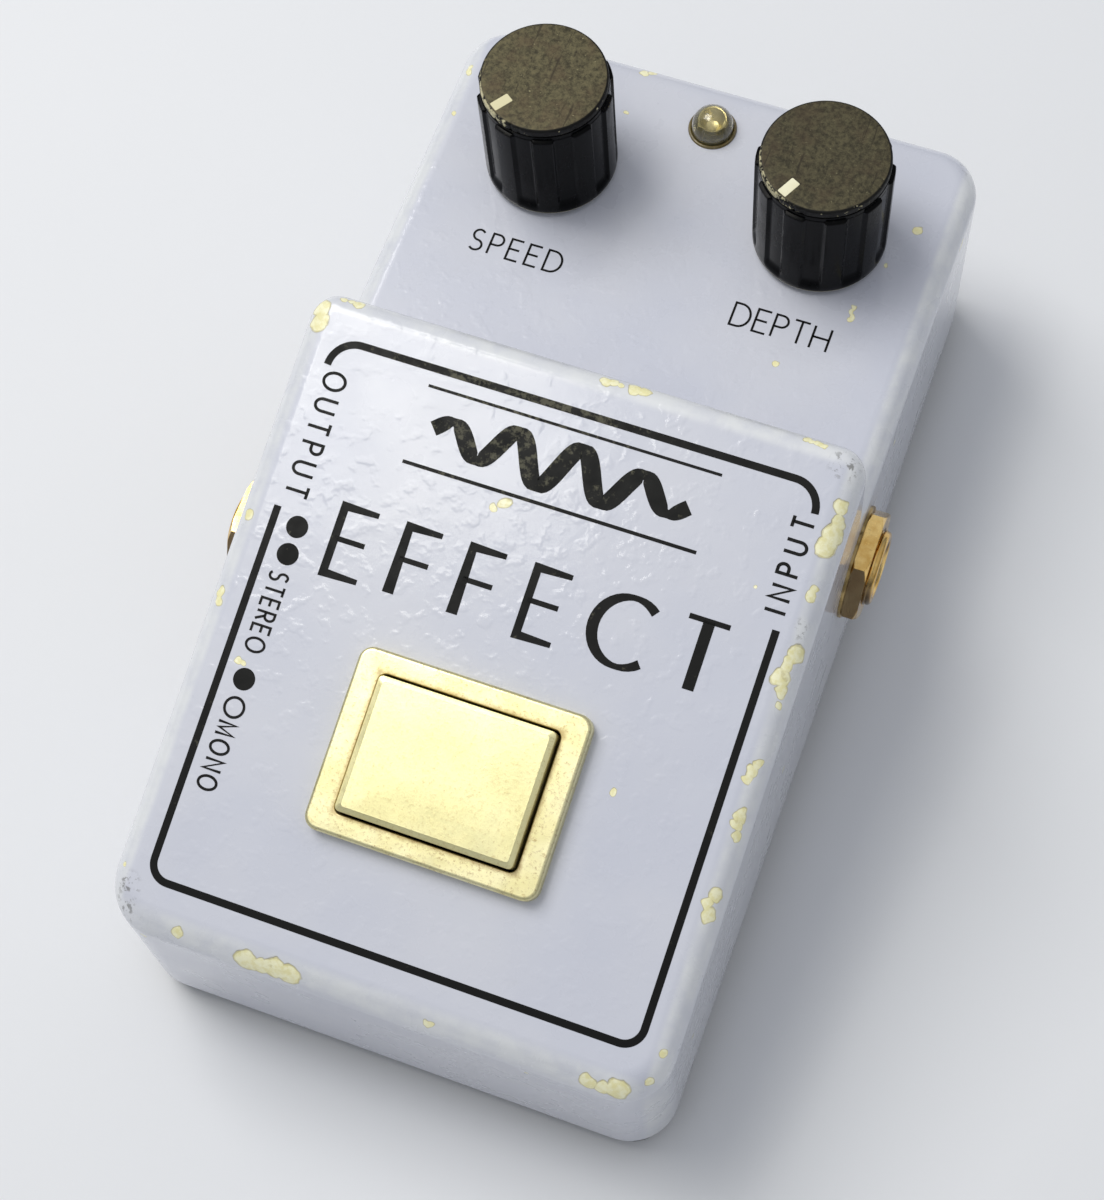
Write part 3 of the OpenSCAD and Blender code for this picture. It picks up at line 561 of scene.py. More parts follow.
def case_enamel(case):
    """Pale lavender enamel over cast metal: orange peel, a painted highlight on the round edges, rubs, and
    chips with rims darkened by dirt and painted shade.
    """
    paint = Paint("case_enamel", Coat_Weight=0.6, Coat_Roughness=0.10, Specular_IOR_Level=0.5)
    broad = paint.noise(22, 3)
    colour = paint.blend(paint.between(broad, 0.3, 0.7), (200, 203, 216), (207, 209, 219))
    # Painted highlight: the round edges are lightened in patches to stand in for the light they catch
    side = paint.math("ABSOLUTE", paint.axis("X"))
    from_front = paint.vector("SUBTRACT", paint.where, tuple(FACE_START))
    uphill = paint.vector("DOT_PRODUCT", from_front, tuple(UPHILL))
    above = paint.vector("DOT_PRODUCT", from_front, tuple(OUTWARD))
    ridge = paint.math(
        "MULTIPLY", peak(paint, uphill, 74.6, 76.6, 1.2), paint.between(above, -4.0, -1.0)
    )
    front = paint.math(
        "MULTIPLY", peak(paint, uphill, -0.4, 1.6, 1.4), paint.between(above, -3.4, -1.2)
    )
    side_edge_highlight = peak(paint, side, 32.0, 33.2, 0.9)
    edges = paint.highest(side_edge_highlight, paint.highest(ridge, front))
    patchy = paint.between(paint.noise(3.5, 4, 0.6, shift=1.0), 0.3, 0.65, 0.4, 0.9)
    # Painted highlight, near white, on the face's side, front and ridge edges
    colour = paint.blend(paint.times(edges, patchy), colour, (226, 228, 230))
    grime_field = paint.noise(5.5, 5, 0.65, shift=4.0)
    colour = paint.stained(colour, (188, 187, 188), grime_field, 0.64, 0.84, 0.22)
    colour = paint.stained(colour, (158, 156, 150), paint.noise(1.3, 4, 0.7, shift=9.0), 0.75, 0.80, 0.3)
    corner = HALF_W - 2.5
    rubs = (
        (on_face(corner, BLOCK_L), 2.6), (on_face(-corner, 1), 3.2), (on_face(corner + 1, 0), 2.4),
        (on_face(-corner, 4), 2.2), (on_face(corner + 1, 55), 1.6), (on_panel(corner, 60), 1.8),
    )
    rub_zone = paint.between(nearest_of(paint, rubs, paint.where), 0.3, 1.0, 1.0, 0.0)
    rub_marks = paint.between(paint.noise(0.9, 4, 0.7, shift=3.0), 0.52, 0.62)
    rubbed = paint.times(rub_zone, rub_marks)
    colour = paint.blend(paint.times(rubbed, 0.7), colour, (92, 90, 84))

    reach = nearest_of(paint, case_chips(case), shaken(paint, 1.5, 1.1))
    bare = paint.between(reach, 0.95, 1.0, 1.0, 0.0)
    # The rim round each chip is darkened: partly a dirty outline, partly painted shade at the paint's
    # broken edge
    rim = peak(paint, reach, 0.90, 1.0, 0.08)
    metal = paint.blend(
        paint.between(paint.noise(0.8, 3, 0.6, shift=6.0), 0.35, 0.65),
        (240, 233, 176),
        (253, 250, 212),
    )
    metal = paint.blend(
        paint.between(paint.noise(1.8, 3, shift=2.0), 0.64, 0.74, 0.0, 0.5),
        metal,
        (196, 184, 124),
    )
    colour = paint.blend(bare, colour, metal)
    colour = paint.blend(paint.times(rim, 0.4), colour, (160, 148, 100))

    rough = paint.between(paint.noise(7, 4), 0.3, 0.75, 0.24, 0.36)
    rough = paint.highest(rough, paint.times(bare, 0.5))
    rough = paint.highest(rough, paint.times(rubbed, 0.6))
    # Orange peel: low swellings with a scatter of small blisters, least on the upright walls
    normals = paint.true_normal()
    flat = paint.between(paint.axis("Z", normals), 0.3, 0.8, 0.06, 1.0)
    blisters = paint.between(paint.noise(1.9, 2, 0.5, shift=12.0), 0.50, 0.72)
    swell = paint.bump(paint.times(flat, paint.noise(3.4, 2, 0.45)), 0.10, 0.22)
    peel = paint.bump(paint.times(flat, blisters), 0.035, 0.42, swell)
    grain = paint.bump(paint.noise(0.5, 2), 0.01, 0.25, peel)
    normal = paint.bump(paint.math("SUBTRACT", 1.0, bare), 0.14, 0.9, grain)
    normal = paint.bump(paint.times(bare, paint.noise(0.45, 3)), 0.06, 0.5, normal)
    return paint.set(colour, rough, normal, Coat_Normal=normal)


def print_ink(name, worn_low, worn_high):
    """Black printing ink, rubbed thin in places, with a painted highlight round the upper left of the
    face.
    """
    paint = Paint(name, Specular_IOR_Level=0.16)
    # Painted highlight and wear: the ink turns olive grey most round the upper left of the face, where the
    # light is reflected
    spot = tuple(on_face(-8.0, 72.0))
    highlight_pull = paint.between(paint.vector("DISTANCE", paint.where, spot), 4.0, 26.0, 0.16, 0.0)
    field = paint.math("ADD", paint.noise(1.1, 5, 0.7), highlight_pull)
    worn = paint.between(field, worn_low, worn_high, 0.0, 0.8)
    # Olive grey for wear and, round the upper left, for a painted highlight
    colour = paint.blend(worn, (7, 8, 8), (92, 90, 74))
    gone = paint.between(paint.noise(0.6, 4, 0.75, shift=5.0), 0.76, 0.80)
    colour = paint.blend(gone, colour, (190, 190, 192))
    rough = paint.gloss(paint.noise(2, 3), (0.34, 0.52))
    return paint.set(colour, rough, paint.bump(paint.noise(0.3, 2), 0.01, 0.4))


def plated(name, light, dark, tarnish, gap_w, gap_l, reach, strength, grain_mix):
    """Aged plate: cloudy, finely grained, and stained round the gap between button and bezel."""
    paint = Paint(name, Metallic=1.0)
    cloud = paint.noise(5, 5, 0.6)
    colour = paint.blend(paint.between(cloud, 0.3, 0.7), light, dark)
    grains = paint.noise(0.42, 5, 0.8, shift=2.0)
    colour = paint.blend(paint.between(grains, 0.50, 0.70, 0.0, grain_mix), colour, tarnish)
    pits = paint.between(paint.cells(0.45), 0.05, 0.18, 1.0, 0.0)
    patchy = paint.between(paint.noise(2.6, 4, 0.65, shift=3.0), 0.46, 0.64)
    pits = paint.times(pits, patchy)
    colour = paint.blend(paint.times(pits, 0.4), colour, tarnish)
    centre = tuple(on_face(0, BUTTON_S))
    offset = paint.vector("SUBTRACT", paint.where, centre)
    across = paint.math("ABSOLUTE", paint.vector("DOT_PRODUCT", offset, (1, 0, 0)))
    along = paint.math("ABSOLUTE", paint.vector("DOT_PRODUCT", offset, tuple(UPHILL)))
    from_gap = paint.math(
        "MAXIMUM",
        paint.math("SUBTRACT", across, gap_w / 2),
        paint.math("SUBTRACT", along, gap_l / 2),
    )
    distance = paint.math("ABSOLUTE", from_gap)
    uneven = paint.times(paint.noise(0.8, 5, 0.75, shift=7.0), 2 * reach)
    stain = paint.between(paint.math("SUBTRACT", distance, uneven), -reach, 0.1, 1.0, 0.0)
    colour = paint.blend(paint.times(stain, strength), colour, tarnish)
    rough = paint.between(paint.noise(3, 5, 0.7), 0.3, 0.7, 0.30, 0.42)
    rough = paint.math("ADD", rough, paint.times(stain, 0.12))
    wave = paint.bump(paint.noise(4.0, 2), 0.02, 0.12)
    grain = paint.bump(grains, 0.02, 0.7, wave)
    normal = paint.bump(paint.math("SUBTRACT", 1.0, pits), 0.02, 0.4, grain)
    return paint.set(colour, rough, normal)


def metal(name, light, dark, rough=(0.2, 0.36), stain=None, stretch=(1, 1, 1), painted_shade=None):
    """Turned, drawn or plated metal with fine lines, blotches and stains, and, where asked, painted shade
    on faces turned away from the light.
    """
    paint = Paint(name, Metallic=1.0)
    blotch = paint.noise(2.4, 5, 0.62)
    colour = paint.blend(paint.between(blotch, 0.35, 0.68), light, dark)
    lines = paint.noise(0.22, 3, 0.6, stretch)
    if stain:
        dirt = paint.between(paint.noise(1.1, 5, 0.7, shift=5.0), 0.60, 0.74, 0.0, 0.75)
        colour = paint.blend(dirt, colour, stain)
    if painted_shade:
        # Painted shade: faces turned to the front and down, away from the light, are darkened
        normals = paint.true_normal()
        shade_facing = paint.vector("DOT_PRODUCT", normals, (0.0, -0.85, -0.25))
        colour = paint.stained(colour, painted_shade, shade_facing, 0.25, 0.65, 0.85)
    rough = paint.gloss(paint.noise(1.2, 4, 0.6, shift=2.0), rough)
    return paint.set(colour, rough, paint.bump(lines, 0.012, 0.5))


def moulded(name, colour_a, colour_b, rough, grain, depth, dust=None):
    """Moulded plastic or rubber: fine grain, slight colour change, a little dust."""
    paint = Paint(name)
    colour = paint.blend(paint.between(paint.noise(6, 3), 0.35, 0.65), colour_a, colour_b)
    if dust:
        marks = paint.between(paint.noise(0.5, 5, 0.75, shift=4.0), 0.60, 0.74, 0.0, 0.5)
        colour = paint.blend(marks, colour, dust)
    rough = paint.gloss(paint.noise(2.2, 4), rough)
    return paint.set(colour, rough, paint.bump(paint.noise(grain, 2), depth, 0.5))


def knob_black(place):
    """Black moulded knob, satin, dusty and nicked round its upper and lower edges, with a painted
    highlight line just above the foot.
    """
    paint = Paint("knob_black_" + place, Specular_IOR_Level=0.06)
    colour = paint.blend(paint.noise(4, 3), (4, 4, 5), (8, 9, 10))
    height = paint.axis("Z")
    near_top = paint.between(height, KNOB_TOP - 2.3, KNOB_TOP - 1.4)
    near_foot = paint.between(height, KNOB_FOOT, KNOB_FOOT + 1.4, 1.0, 0.0)
    edge = paint.highest(near_top, near_foot)
    marks = paint.between(paint.noise(0.55, 5, 0.75), 0.60, 0.70)
    worn = paint.times(paint.times(edge, marks), 0.5)
    colour = paint.blend(worn, colour, (96, 92, 78))
    film = paint.noise(2.0, 4, 0.6, (1, 1, 0.25), shift=2.0)
    colour = paint.stained(colour, (58, 60, 62), film, 0.58, 0.8, 0.06)
    # Painted highlight: a pale line just above the foot
    foot_highlight = paint.between(height, KNOB_FOOT + 0.18, KNOB_FOOT + 0.34, 0.8, 0.0)
    colour = paint.blend(foot_highlight, colour, (186, 180, 158))
    rough = paint.gloss(paint.noise(1.4, 4, 0.6, (1, 1, 0.3)), (0.16, 0.30))
    return paint.set(colour, rough, paint.bump(paint.noise(0.7, 3, 0.6), 0.02, 0.3))


def knob_disc(place, centre, tone):
    """Matte olive-brown cap disc: speckled and scratched, with a dark rim lightened in places by wear and
    by a painted highlight.
    """
    paint = Paint("knob_disc_" + place, Metallic=0.3, Specular_IOR_Level=0.3)

    def toned(red, green, blue):
        return red * tone, green * tone, blue * tone

    speck = paint.noise(0.6, 6, 0.82)
    colour = paint.blend(paint.between(speck, 0.34, 0.66), toned(50, 46, 31), toned(108, 101, 74))
    colour = paint.stained(colour, toned(88, 72, 54), paint.noise(3.0, 4, 0.6, shift=3.0), 0.45, 0.7, 0.45)
    pale = paint.noise(0.42, 3, 0.7, shift=8.0)
    colour = paint.stained(colour, toned(176, 168, 128), pale, 0.66, 0.74, 0.7)
    hairs = paint.noise(0.6, 3, 0.6, (1, 0.07, 1), shift=11.0)
    colour = paint.stained(colour, toned(40, 33, 25), hairs, 0.64, 0.70, 0.6)
    flat = paint.vector("MULTIPLY", paint.where, (1, 1, 0))
    radius = paint.vector("DISTANCE", flat, (centre.x, centre.y, 0))
    rim = paint.between(radius, 7.36, 7.5)
    colour = paint.blend(rim, colour, (18, 17, 15))
    # Painted highlight and wear: the rim is lightened most on the side towards the front left
    lit_worn_side = paint.vector("DISTANCE", flat, (centre.x - 5.6, centre.y - 4.6, 0))
    side = paint.between(lit_worn_side, 1.0, 8.0, 0.10, -0.08)
    field = paint.math("ADD", paint.noise(0.8, 5, 0.75, shift=5.0), side)
    edge = paint.between(radius, 7.42, 7.58)
    # Pale marks on the rim, for wear and for a painted highlight
    bright = paint.times(edge, paint.between(field, 0.54, 0.60))
    colour = paint.blend(bright, colour, (206, 198, 160))
    return paint.set(colour, paint.gloss(speck, (0.46, 0.64)), paint.bump(speck, 0.035, 0.6))


def resin(name, tint, tint_deep, clear, rough=(0.02, 0.08)):
    """Clear cast resin, slightly yellowed."""
    paint = Paint(name, Transmission_Weight=clear, IOR=1.5, Coat_Weight=0.5, Coat_Roughness=0.03)
    colour = paint.blend(paint.noise(1.6, 3), tint, tint_deep)
    rough = paint.gloss(paint.noise(0.7, 3), rough)
    return paint.set(colour, rough, paint.bump(paint.noise(1.2, 2), 0.02, 0.2))


def laminate():
    """Phenolic board with its glass weave showing."""
    paint = Paint("board_laminate")
    weave = paint.math(
        "MULTIPLY",
        paint.math("SINE", paint.times(paint.axis("X"), 9.0)),
        paint.math("SINE", paint.times(paint.axis("Y"), 9.0)),
    )
    colour = paint.blend(paint.between(paint.noise(5, 4), 0.3, 0.7), (150, 112, 52), (176, 138, 72))
    colour = paint.stained(colour, (196, 164, 100), weave, 0.0, 1.0, 0.3)
    rough = paint.gloss(paint.noise(2, 3), (0.35, 0.5))
    return paint.set(colour, rough, paint.bump(weave, 0.02, 0.4))


def banded(name, body_a, body_b, bands, pitch, rough=(0.25, 0.4)):
    """Coated parts with printed colour bands along them."""
    paint = Paint(name)
    wave = paint.math("SINE", paint.times(paint.axis("X"), 2 * math.pi / pitch))
    colour = paint.blend(paint.noise(1.5, 3), body_a, body_b)
    colour = paint.blend(paint.between(wave, 0.55, 0.7), colour, bands)
    rough = paint.gloss(paint.noise(0.9, 3), rough)
    return paint.set(colour, rough, paint.bump(paint.noise(0.4, 3), 0.02, 0.4))


def plate_black():
    """Satin black paint on steel, scratched through in fine lines."""
    paint = Paint("plate_black")
    colour = paint.blend(paint.noise(8, 4), (38, 38, 40), (50, 50, 52))
    lines = paint.noise(0.35, 4, 0.7, (0.06, 1, 1), shift=3.0)
    colour = paint.stained(colour, (150, 148, 142), lines, 0.70, 0.74, 0.8)
    rough = paint.gloss(paint.noise(3, 4), (0.38, 0.55))
    return paint.set(colour, rough, paint.bump(paint.noise(0.6, 3), 0.03, 0.5))


ink_bold = print_ink("ink_bold", 0.62, 0.78)
ink_fine = print_ink("ink_fine", 0.66, 0.84)
bezel_plate = plated(
    "bezel_plate", (246, 239, 194), (234, 225, 170), (158, 120, 70), 21.8, 16.5, 0.6, 0.5, 0.65
)
button_plate = plated(
    "button_plate", (243, 236, 184), (237, 229, 173), (190, 166, 108), 21.4, 16.1, 0.4, 0.3, 0.5
)
# The brass gets painted shade, (66, 60, 60), on faces turned to the front and down
brass = metal(
    "jack_brass", (244, 210, 138), (216, 172, 94), (0.10, 0.22), (120, 84, 40), (1, 6, 6), (66, 60, 60)
)
brass_dark = metal("washer_brass", (186, 162, 112), (120, 98, 60), (0.28, 0.45), (60, 46, 30))
lens_resin = resin("lens_resin", (255, 250, 214), (248, 232, 168), 0.88)
clip_resin = resin("clip_resin", (150, 134, 86), (98, 82, 44), 0.3, (0.15, 0.3))

# Light and dark colour, roughness, stain, stretch of the fine lines
METALS = {
    "screw_steel": ((196, 197, 202), (150, 150, 156), (0.25, 0.4), (96, 88, 74)),
    "spring_steel": ((186, 188, 194), (140, 142, 150), (0.15, 0.28)),
    "zinc_steel": ((190, 190, 190), (150, 150, 148), (0.28, 0.45), (120, 112, 96)),
    "shaft_metal": ((206, 206, 210), (170, 170, 176), (0.2, 0.32), None, (1, 1, 5)),
    "tinned_contacts": ((222, 216, 190), (176, 168, 136), (0.25, 0.4)),
    "nickel_parts": ((206, 206, 206), (166, 164, 158), (0.16, 0.3), (104, 96, 80)),
}
# Two colours, roughness, size and depth of the grain, dust
MOULDED = {
    "foot_rubber": ((30, 30, 31), (42, 42, 42), (0.7, 0.85), 0.3, 0.03, (96, 94, 88)),
    "black_plastic": ((26, 26, 27), (36, 36, 38), (0.42, 0.58), 0.2, 0.02, (84, 82, 76)),
    "natural_nylon": ((226, 222, 204), (206, 200, 176), (0.35, 0.5), 0.25, 0.01),
    "red_plastic": ((186, 52, 38), (160, 40, 30), (0.3, 0.45), 0.2, 0.01),
    "film_coat": ((150, 46, 32), (128, 36, 26), (0.2, 0.32), 0.8, 0.05),
    "chip_epoxy": ((26, 26, 28), (40, 40, 42), (0.5, 0.65), 0.15, 0.02, (88, 88, 86)),
    "trimmer_blue": ((40, 84, 150), (34, 70, 130), (0.35, 0.5), 0.2, 0.01),
    "trimmer_white": ((236, 232, 216), (220, 214, 192), (0.35, 0.5), 0.2, 0.01),
    "foam_rubber": ((40, 40, 42), (54, 54, 56), (0.85, 0.95), 0.5, 0.15),
    "wire_red": ((180, 24, 18), (150, 20, 16), (0.3, 0.42), 0.6, 0.01),
    "wire_black": ((22, 22, 22), (32, 32, 32), (0.3, 0.42), 0.6, 0.01),
    "wire_white": ((226, 226, 218), (206, 204, 190), (0.3, 0.42), 0.6, 0.01),
    "pointer_paint": ((240, 236, 205), (222, 214, 172), (0.4, 0.55), 0.2, 0.01, (150, 140, 104)),
}
# Two colours of the body, the bands' colour and pitch, roughness
BANDED = {
    "resistor_coat": ((206, 176, 128), (186, 152, 104), (120, 62, 34), 1.6),
    "can_sleeve": ((30, 44, 96), (24, 34, 78), (196, 200, 214), 5.0),
    "battery_case": ((24, 24, 27), (34, 34, 38), (176, 128, 60), 46.0, (0.2, 0.34)),
}
SLOT_MATERIALS = {
    "plate_paint": plate_black(),
    "plated_metal": button_plate,
    "board_laminate": laminate(),
    "brass_parts": brass,
}
for make, rows in ((metal, METALS), (moulded, MOULDED), (banded, BANDED)):
    for slot, look in rows.items():
        SLOT_MATERIALS[slot] = make(slot, *look)

# ---- case


def fillet_levels():
    """(inset, drop) of a quarter round edge, from the wall to the top."""
    return [(EDGE_R * a, EDGE_R * b) for a, b in quarter(9)]


def block_solid(y_low, y_high, radii, top):
    """A cast block: upright walls from the rim, a quarter round edge, and a top of height top(y)."""
    rim_bevel = 0.35
    center = (0, (y_low + y_high) / 2)
    rings = []

    def ring(inset, height_of):
        width = 2 * (HALF_W - inset)
        length = y_high - y_low - 2 * inset
        outline = rounded_outline(width, length, [r - inset for r in radii], 12, center)
        return [Vector((x, y, height_of(y))) for x, y in outline]

    rings.append(ring(rim_bevel, lambda y: RIM_Z))
    rings.append(ring(0, lambda y: RIM_Z + rim_bevel))
    for inset, drop in fillet_levels():
        rings.append(ring(inset, lambda y, drop=drop: top(y) - drop))
    return skin(rings)


def valley_fillet():
    """The small round where the rear panel meets the ridge's wall."""
    radius = 1.6
    half = HALF_W - EDGE_R + 0.2
    section = [(Y_RIDGE - 1.5, PANEL_Z - 1.5), (Y_RIDGE - 1.5, PANEL_Z + radius)]
    for i in range(9):
        angle = math.radians(180 + 90 * i / 8)
        y = Y_RIDGE + radius + radius * math.cos(angle)
        z = PANEL_Z + radius + radius * math.sin(angle)
        section.append((y, z))
    section.append((Y_RIDGE + radius, PANEL_Z - 1.5))
    rings = [[Vector((x, y, z)) for y, z in section] for x in (-half, half)]
    return skin(rings)


def cavity_solid():
    """The room inside the casting."""
    drop = WALL / math.cos(SLOPE)
    radius = FRONT_CORNER_R - WALL
    half = HALF_W - WALL

    def room(y_low, y_high, roof):
        outline = rounded_outline(
            2 * half, y_high - y_low, (radius, radius), 6, (0, (y_low + y_high) / 2)
        )
        floor_ring = [Vector((x, y, RIM_Z - 1)) for x, y in outline]
        roof_ring = [Vector((x, y, roof(y))) for x, y in outline]
        return skin([floor_ring, roof_ring])

    front_room = room(Y_FRONT + WALL, Y_RIDGE - WALL, lambda y: face_z(y) - drop)
    rear_room = room(Y_RIDGE - WALL - 12, Y_REAR - WALL, lambda y: PANEL_Z - WALL)
    return front_room, rear_room


def build_case():
    # Screw posts in the corners and beside the button, and the holes in the shell
    post_x = HALF_W - 5.35
    post_y = Y_REAR - 5.1
    boss_x = 17.5
    post_r, boss_r, screw_r = 3.6, 3.2, 1.55
    shaft_r, lamp_r, jack_r, dc_r, dc_recess_r = 3.6, 2.95, 4.8, 3.1, 5.5
    opening_w, opening_l, opening_r = 24.2, 18.9, 1.5
    case = make_object(
        "case_shell", *block_solid(Y_FRONT, Y_RIDGE, (FRONT_CORNER_R, BACK_CORNER_R), face_z)
    )
    rear = make_object(
        "rear_block",
        *block_solid(Y_RIDGE - 20, Y_REAR, (BACK_CORNER_R, FRONT_CORNER_R), lambda y: PANEL_Z),
    )
    combine(case, rear, "UNION")
    combine(case, make_object("valley", *valley_fillet()), "UNION")
    for room in cavity_solid():
        combine(case, make_object("room", *room), "DIFFERENCE")
    posts = []
    holes = []
    for side in (-1, 1):
        for y, top in ((-post_y, face_z(-post_y)), (post_y, PANEL_Z)):
            place = Vector((side * post_x, y, 0))
            posts.append(tube_solid(post_r, RIM_Z, top - WALL + 0.5, place))
            holes.append(tube_solid(screw_r, RIM_Z - 1, RIM_Z + 10, place, count=24))
        boss = on_face(side * boss_x, BUTTON_S)
        posts.append(tube_solid(boss_r, -6.0, -WALL + 0.6, boss, "n"))
        holes.append(tube_solid(screw_r, -7.0, -1.8, boss, "n", 24))
    combine(case, make_object("posts", *merged(posts)), "UNION")
    for knob in (LEFT_KNOB, RIGHT_KNOB):
        holes.append(tube_solid(shaft_r, PANEL_Z - 4, PANEL_Z + 1, Vector((knob.x, knob.y, 0))))
    holes.append(tube_solid(lamp_r, PANEL_Z - 4, PANEL_Z + 1, Vector((0, LAMP.y, 0))))
    holes.append(tube_solid(jack_r, HALF_W - 4, HALF_W + 1, Vector((0, INPUT_Y, JACK_Z)), "x"))
    for y in OUTPUT_YS:
        holes.append(tube_solid(jack_r, -HALF_W - 1, -HALF_W + 4, Vector((0, y, JACK_Z)), "x"))
    dc_place = Vector((DC.x, 0, DC.z))
    holes.append(tube_solid(dc_r, Y_REAR - 4, Y_REAR - 1, dc_place, "y"))
    combine(case, make_object("holes", *merged(holes)), "DIFFERENCE")
    recess = tube_solid(dc_recess_r, Y_REAR - 1.6, Y_REAR + 1, dc_place, "y")
    combine(case, make_object("recess", *recess), "DIFFERENCE")
    outline = rounded_outline(opening_w, opening_l, (opening_r, opening_r), 6)
    opening = [[on_face(x, BUTTON_S + s, level) for x, s in outline] for level in (-6.0, 4.0)]
    combine(case, make_object("opening", *skin(opening)), "DIFFERENCE")
    finish_mesh(case, 30)
    return case


case_shell = build_case()
place_piece(case_shell, "pedal", case_enamel(case_shell), ("case",))

# ---- foot button and bezel


def face_rings(levels):
    """Rings on the sloped face about the button: (width, length, corner radius, height)."""
    rings = []
    for width, length, radius, height in levels:
        outline = rounded_outline(width, length, (radius, radius), 6)
        rings.append([on_face(x, BUTTON_S + s, height) for x, s in outline])
    return rings


def build_bezel():
    out_w, out_l, out_r, top = 27.9, 21.6, 1.7, 2.0
    in_w, in_l, in_r = 21.8, 16.5, 0.9
    edge = 0.5
    lip = 0.15
    levels = [(out_w, out_l, out_r, 0.0)]
    for a, b in quarter(6):
        inset = edge * a
        levels.append((out_w - 2 * inset, out_l - 2 * inset, out_r - inset, top - edge * b))
    for a, b in quarter(4):
        outset = lip * b
        levels.append((in_w + 2 * outset, in_l + 2 * outset, in_r + outset, top - lip * a))
    levels.append((in_w, in_l, in_r, -3.6))
    levels.append((24.0, 18.7, 1.4, -3.6))
    levels.append((24.0, 18.7, 1.4, 0.0))
    return solid("button_bezel", face_rings(levels), 40, closed=True)


def build_button():
    """A pressed metal cap with a narrow chamfer round its slightly crowned top."""
    width, length, radius, top = 21.2, 15.9, 0.6, 3.5
    chamfer = 0.65
    drop = 0.2
    crown = 0.05
    inner_w = width - 2 * chamfer
    inner_l = length - 2 * chamfer
    shoulder = top - crown
    levels = [
        (0.6, 0.6, 0.1, top - 1.0),
        (width - 2.0, length - 2.0, 0.4, top - 1.0),
        (width - 2.0, length - 2.0, 0.4, -2.0),
        (width, length, radius, -2.0),
        (width, length, radius, shoulder - drop - 0.06),
        (width - 0.06, length - 0.06, radius, shoulder - drop),
        (inner_w + 0.12, inner_l + 0.12, radius - 0.2, shoulder - 0.03),
        (inner_w, inner_l, radius - 0.25, shoulder),
    ]
    for share, rise in ((0.82, 0.5), (0.55, 0.8), (0.25, 0.95), (0.05, 1.0)):
        levels.append((inner_w * share, inner_l * share, 0.1, shoulder + crown * rise))
    return solid("button_cap", face_rings(levels), 20)


place_piece(build_bezel(), "pedal", bezel_plate, ("switch_bezel",))
place_piece(build_button(), "button", button_plate, ("foot_button",))

# ---- knobs

KNOB_SIDES = 360
RIB_R = 8.2
VALLEY_R = 7.8
RIB_COUNT = 10
POINTER_L = 2.5
POINTER_W = 1.3
POINTER_R = 6.05


def knob_radius(angle, stop, share):
    """Radius of the ribbed wall: a flute in line with the pointer, then one every 36 degrees.
    share is how deep the flutes are, from 0 to 1."""
    step = 2 * math.pi / RIB_COUNT
    pointer = math.radians(stop + 90)
    turned = (angle - pointer + step / 2) % step - step / 2
    flute_half = math.radians(8.6)
    flank = math.radians(1.6)
    rise = min(max((abs(turned) - flute_half + flank) / (2 * flank), 0.0), 1.0)
    rise = rise * rise * (3 - 2 * rise)
    return RIB_R - (RIB_R - VALLEY_R + 0.02) * (1 - rise) * share


def build_knob(name, centre, stop):
    """Ribbed body: hollow below, with rib tops that end in small ledges under the disc."""
    shoulder = KNOB_TOP - 1.2
    ledge = shoulder - 0.6
    bore_top = shoulder - 2.4
    recess_top = KNOB_FOOT + 3.2
    bore_r = 3.05
    hub_r = 0.3
    skirt_r = 6.9

    def rib(share, trim=0.0):
        return lambda angle: knob_radius(angle, stop, share) - trim

    profile = (
        (bore_top, hub_r), (bore_top, bore_r), (recess_top, bore_r), (recess_top, skirt_r),
        (KNOB_FOOT, skirt_r), (KNOB_FOOT, RIB_R - 0.2), (KNOB_FOOT + 0.06, RIB_R - 0.08),
        (KNOB_FOOT + 0.2, RIB_R - 0.02), (KNOB_FOOT + 1.0, rib(0.05)), (KNOB_FOOT + 1.4, rib(0.45)),
        (KNOB_FOOT + 1.9, rib(0.85)), (KNOB_FOOT + 2.5, rib(1)), (ledge - 0.3, rib(1)),
        (ledge - 0.1, rib(1, 0.06)), (ledge, lambda a: min(rib(1, 0.22)(a), VALLEY_R + 0.12)),
        (ledge + 0.04, VALLEY_R - 0.03), (shoulder - 0.05, VALLEY_R - 0.05),
        (shoulder, VALLEY_R - 0.12), (shoulder, hub_r),
    )
    return solid(name, turned_rings(upright(centre), profile, KNOB_SIDES), 38)


def pointer_rings(centre, stop, levels):
    """Rings of the pointer for levels of (height, inset)."""
    angle = math.radians(stop + 90)
    along = Vector((math.cos(angle), math.sin(angle), 0))
    across = Vector((-along.y, along.x, 0))
    rings = []
    for height, inset in levels:
        foot = Vector((centre.x, centre.y, height))
        size = (POINTER_L - 2 * inset, POINTER_W - 2 * inset)
        outline = rounded_outline(*size, (0.15, 0.15), 3, (POINTER_R, 0))
        rings.append([foot + along * a + across * b for a, b in outline])
    return rings


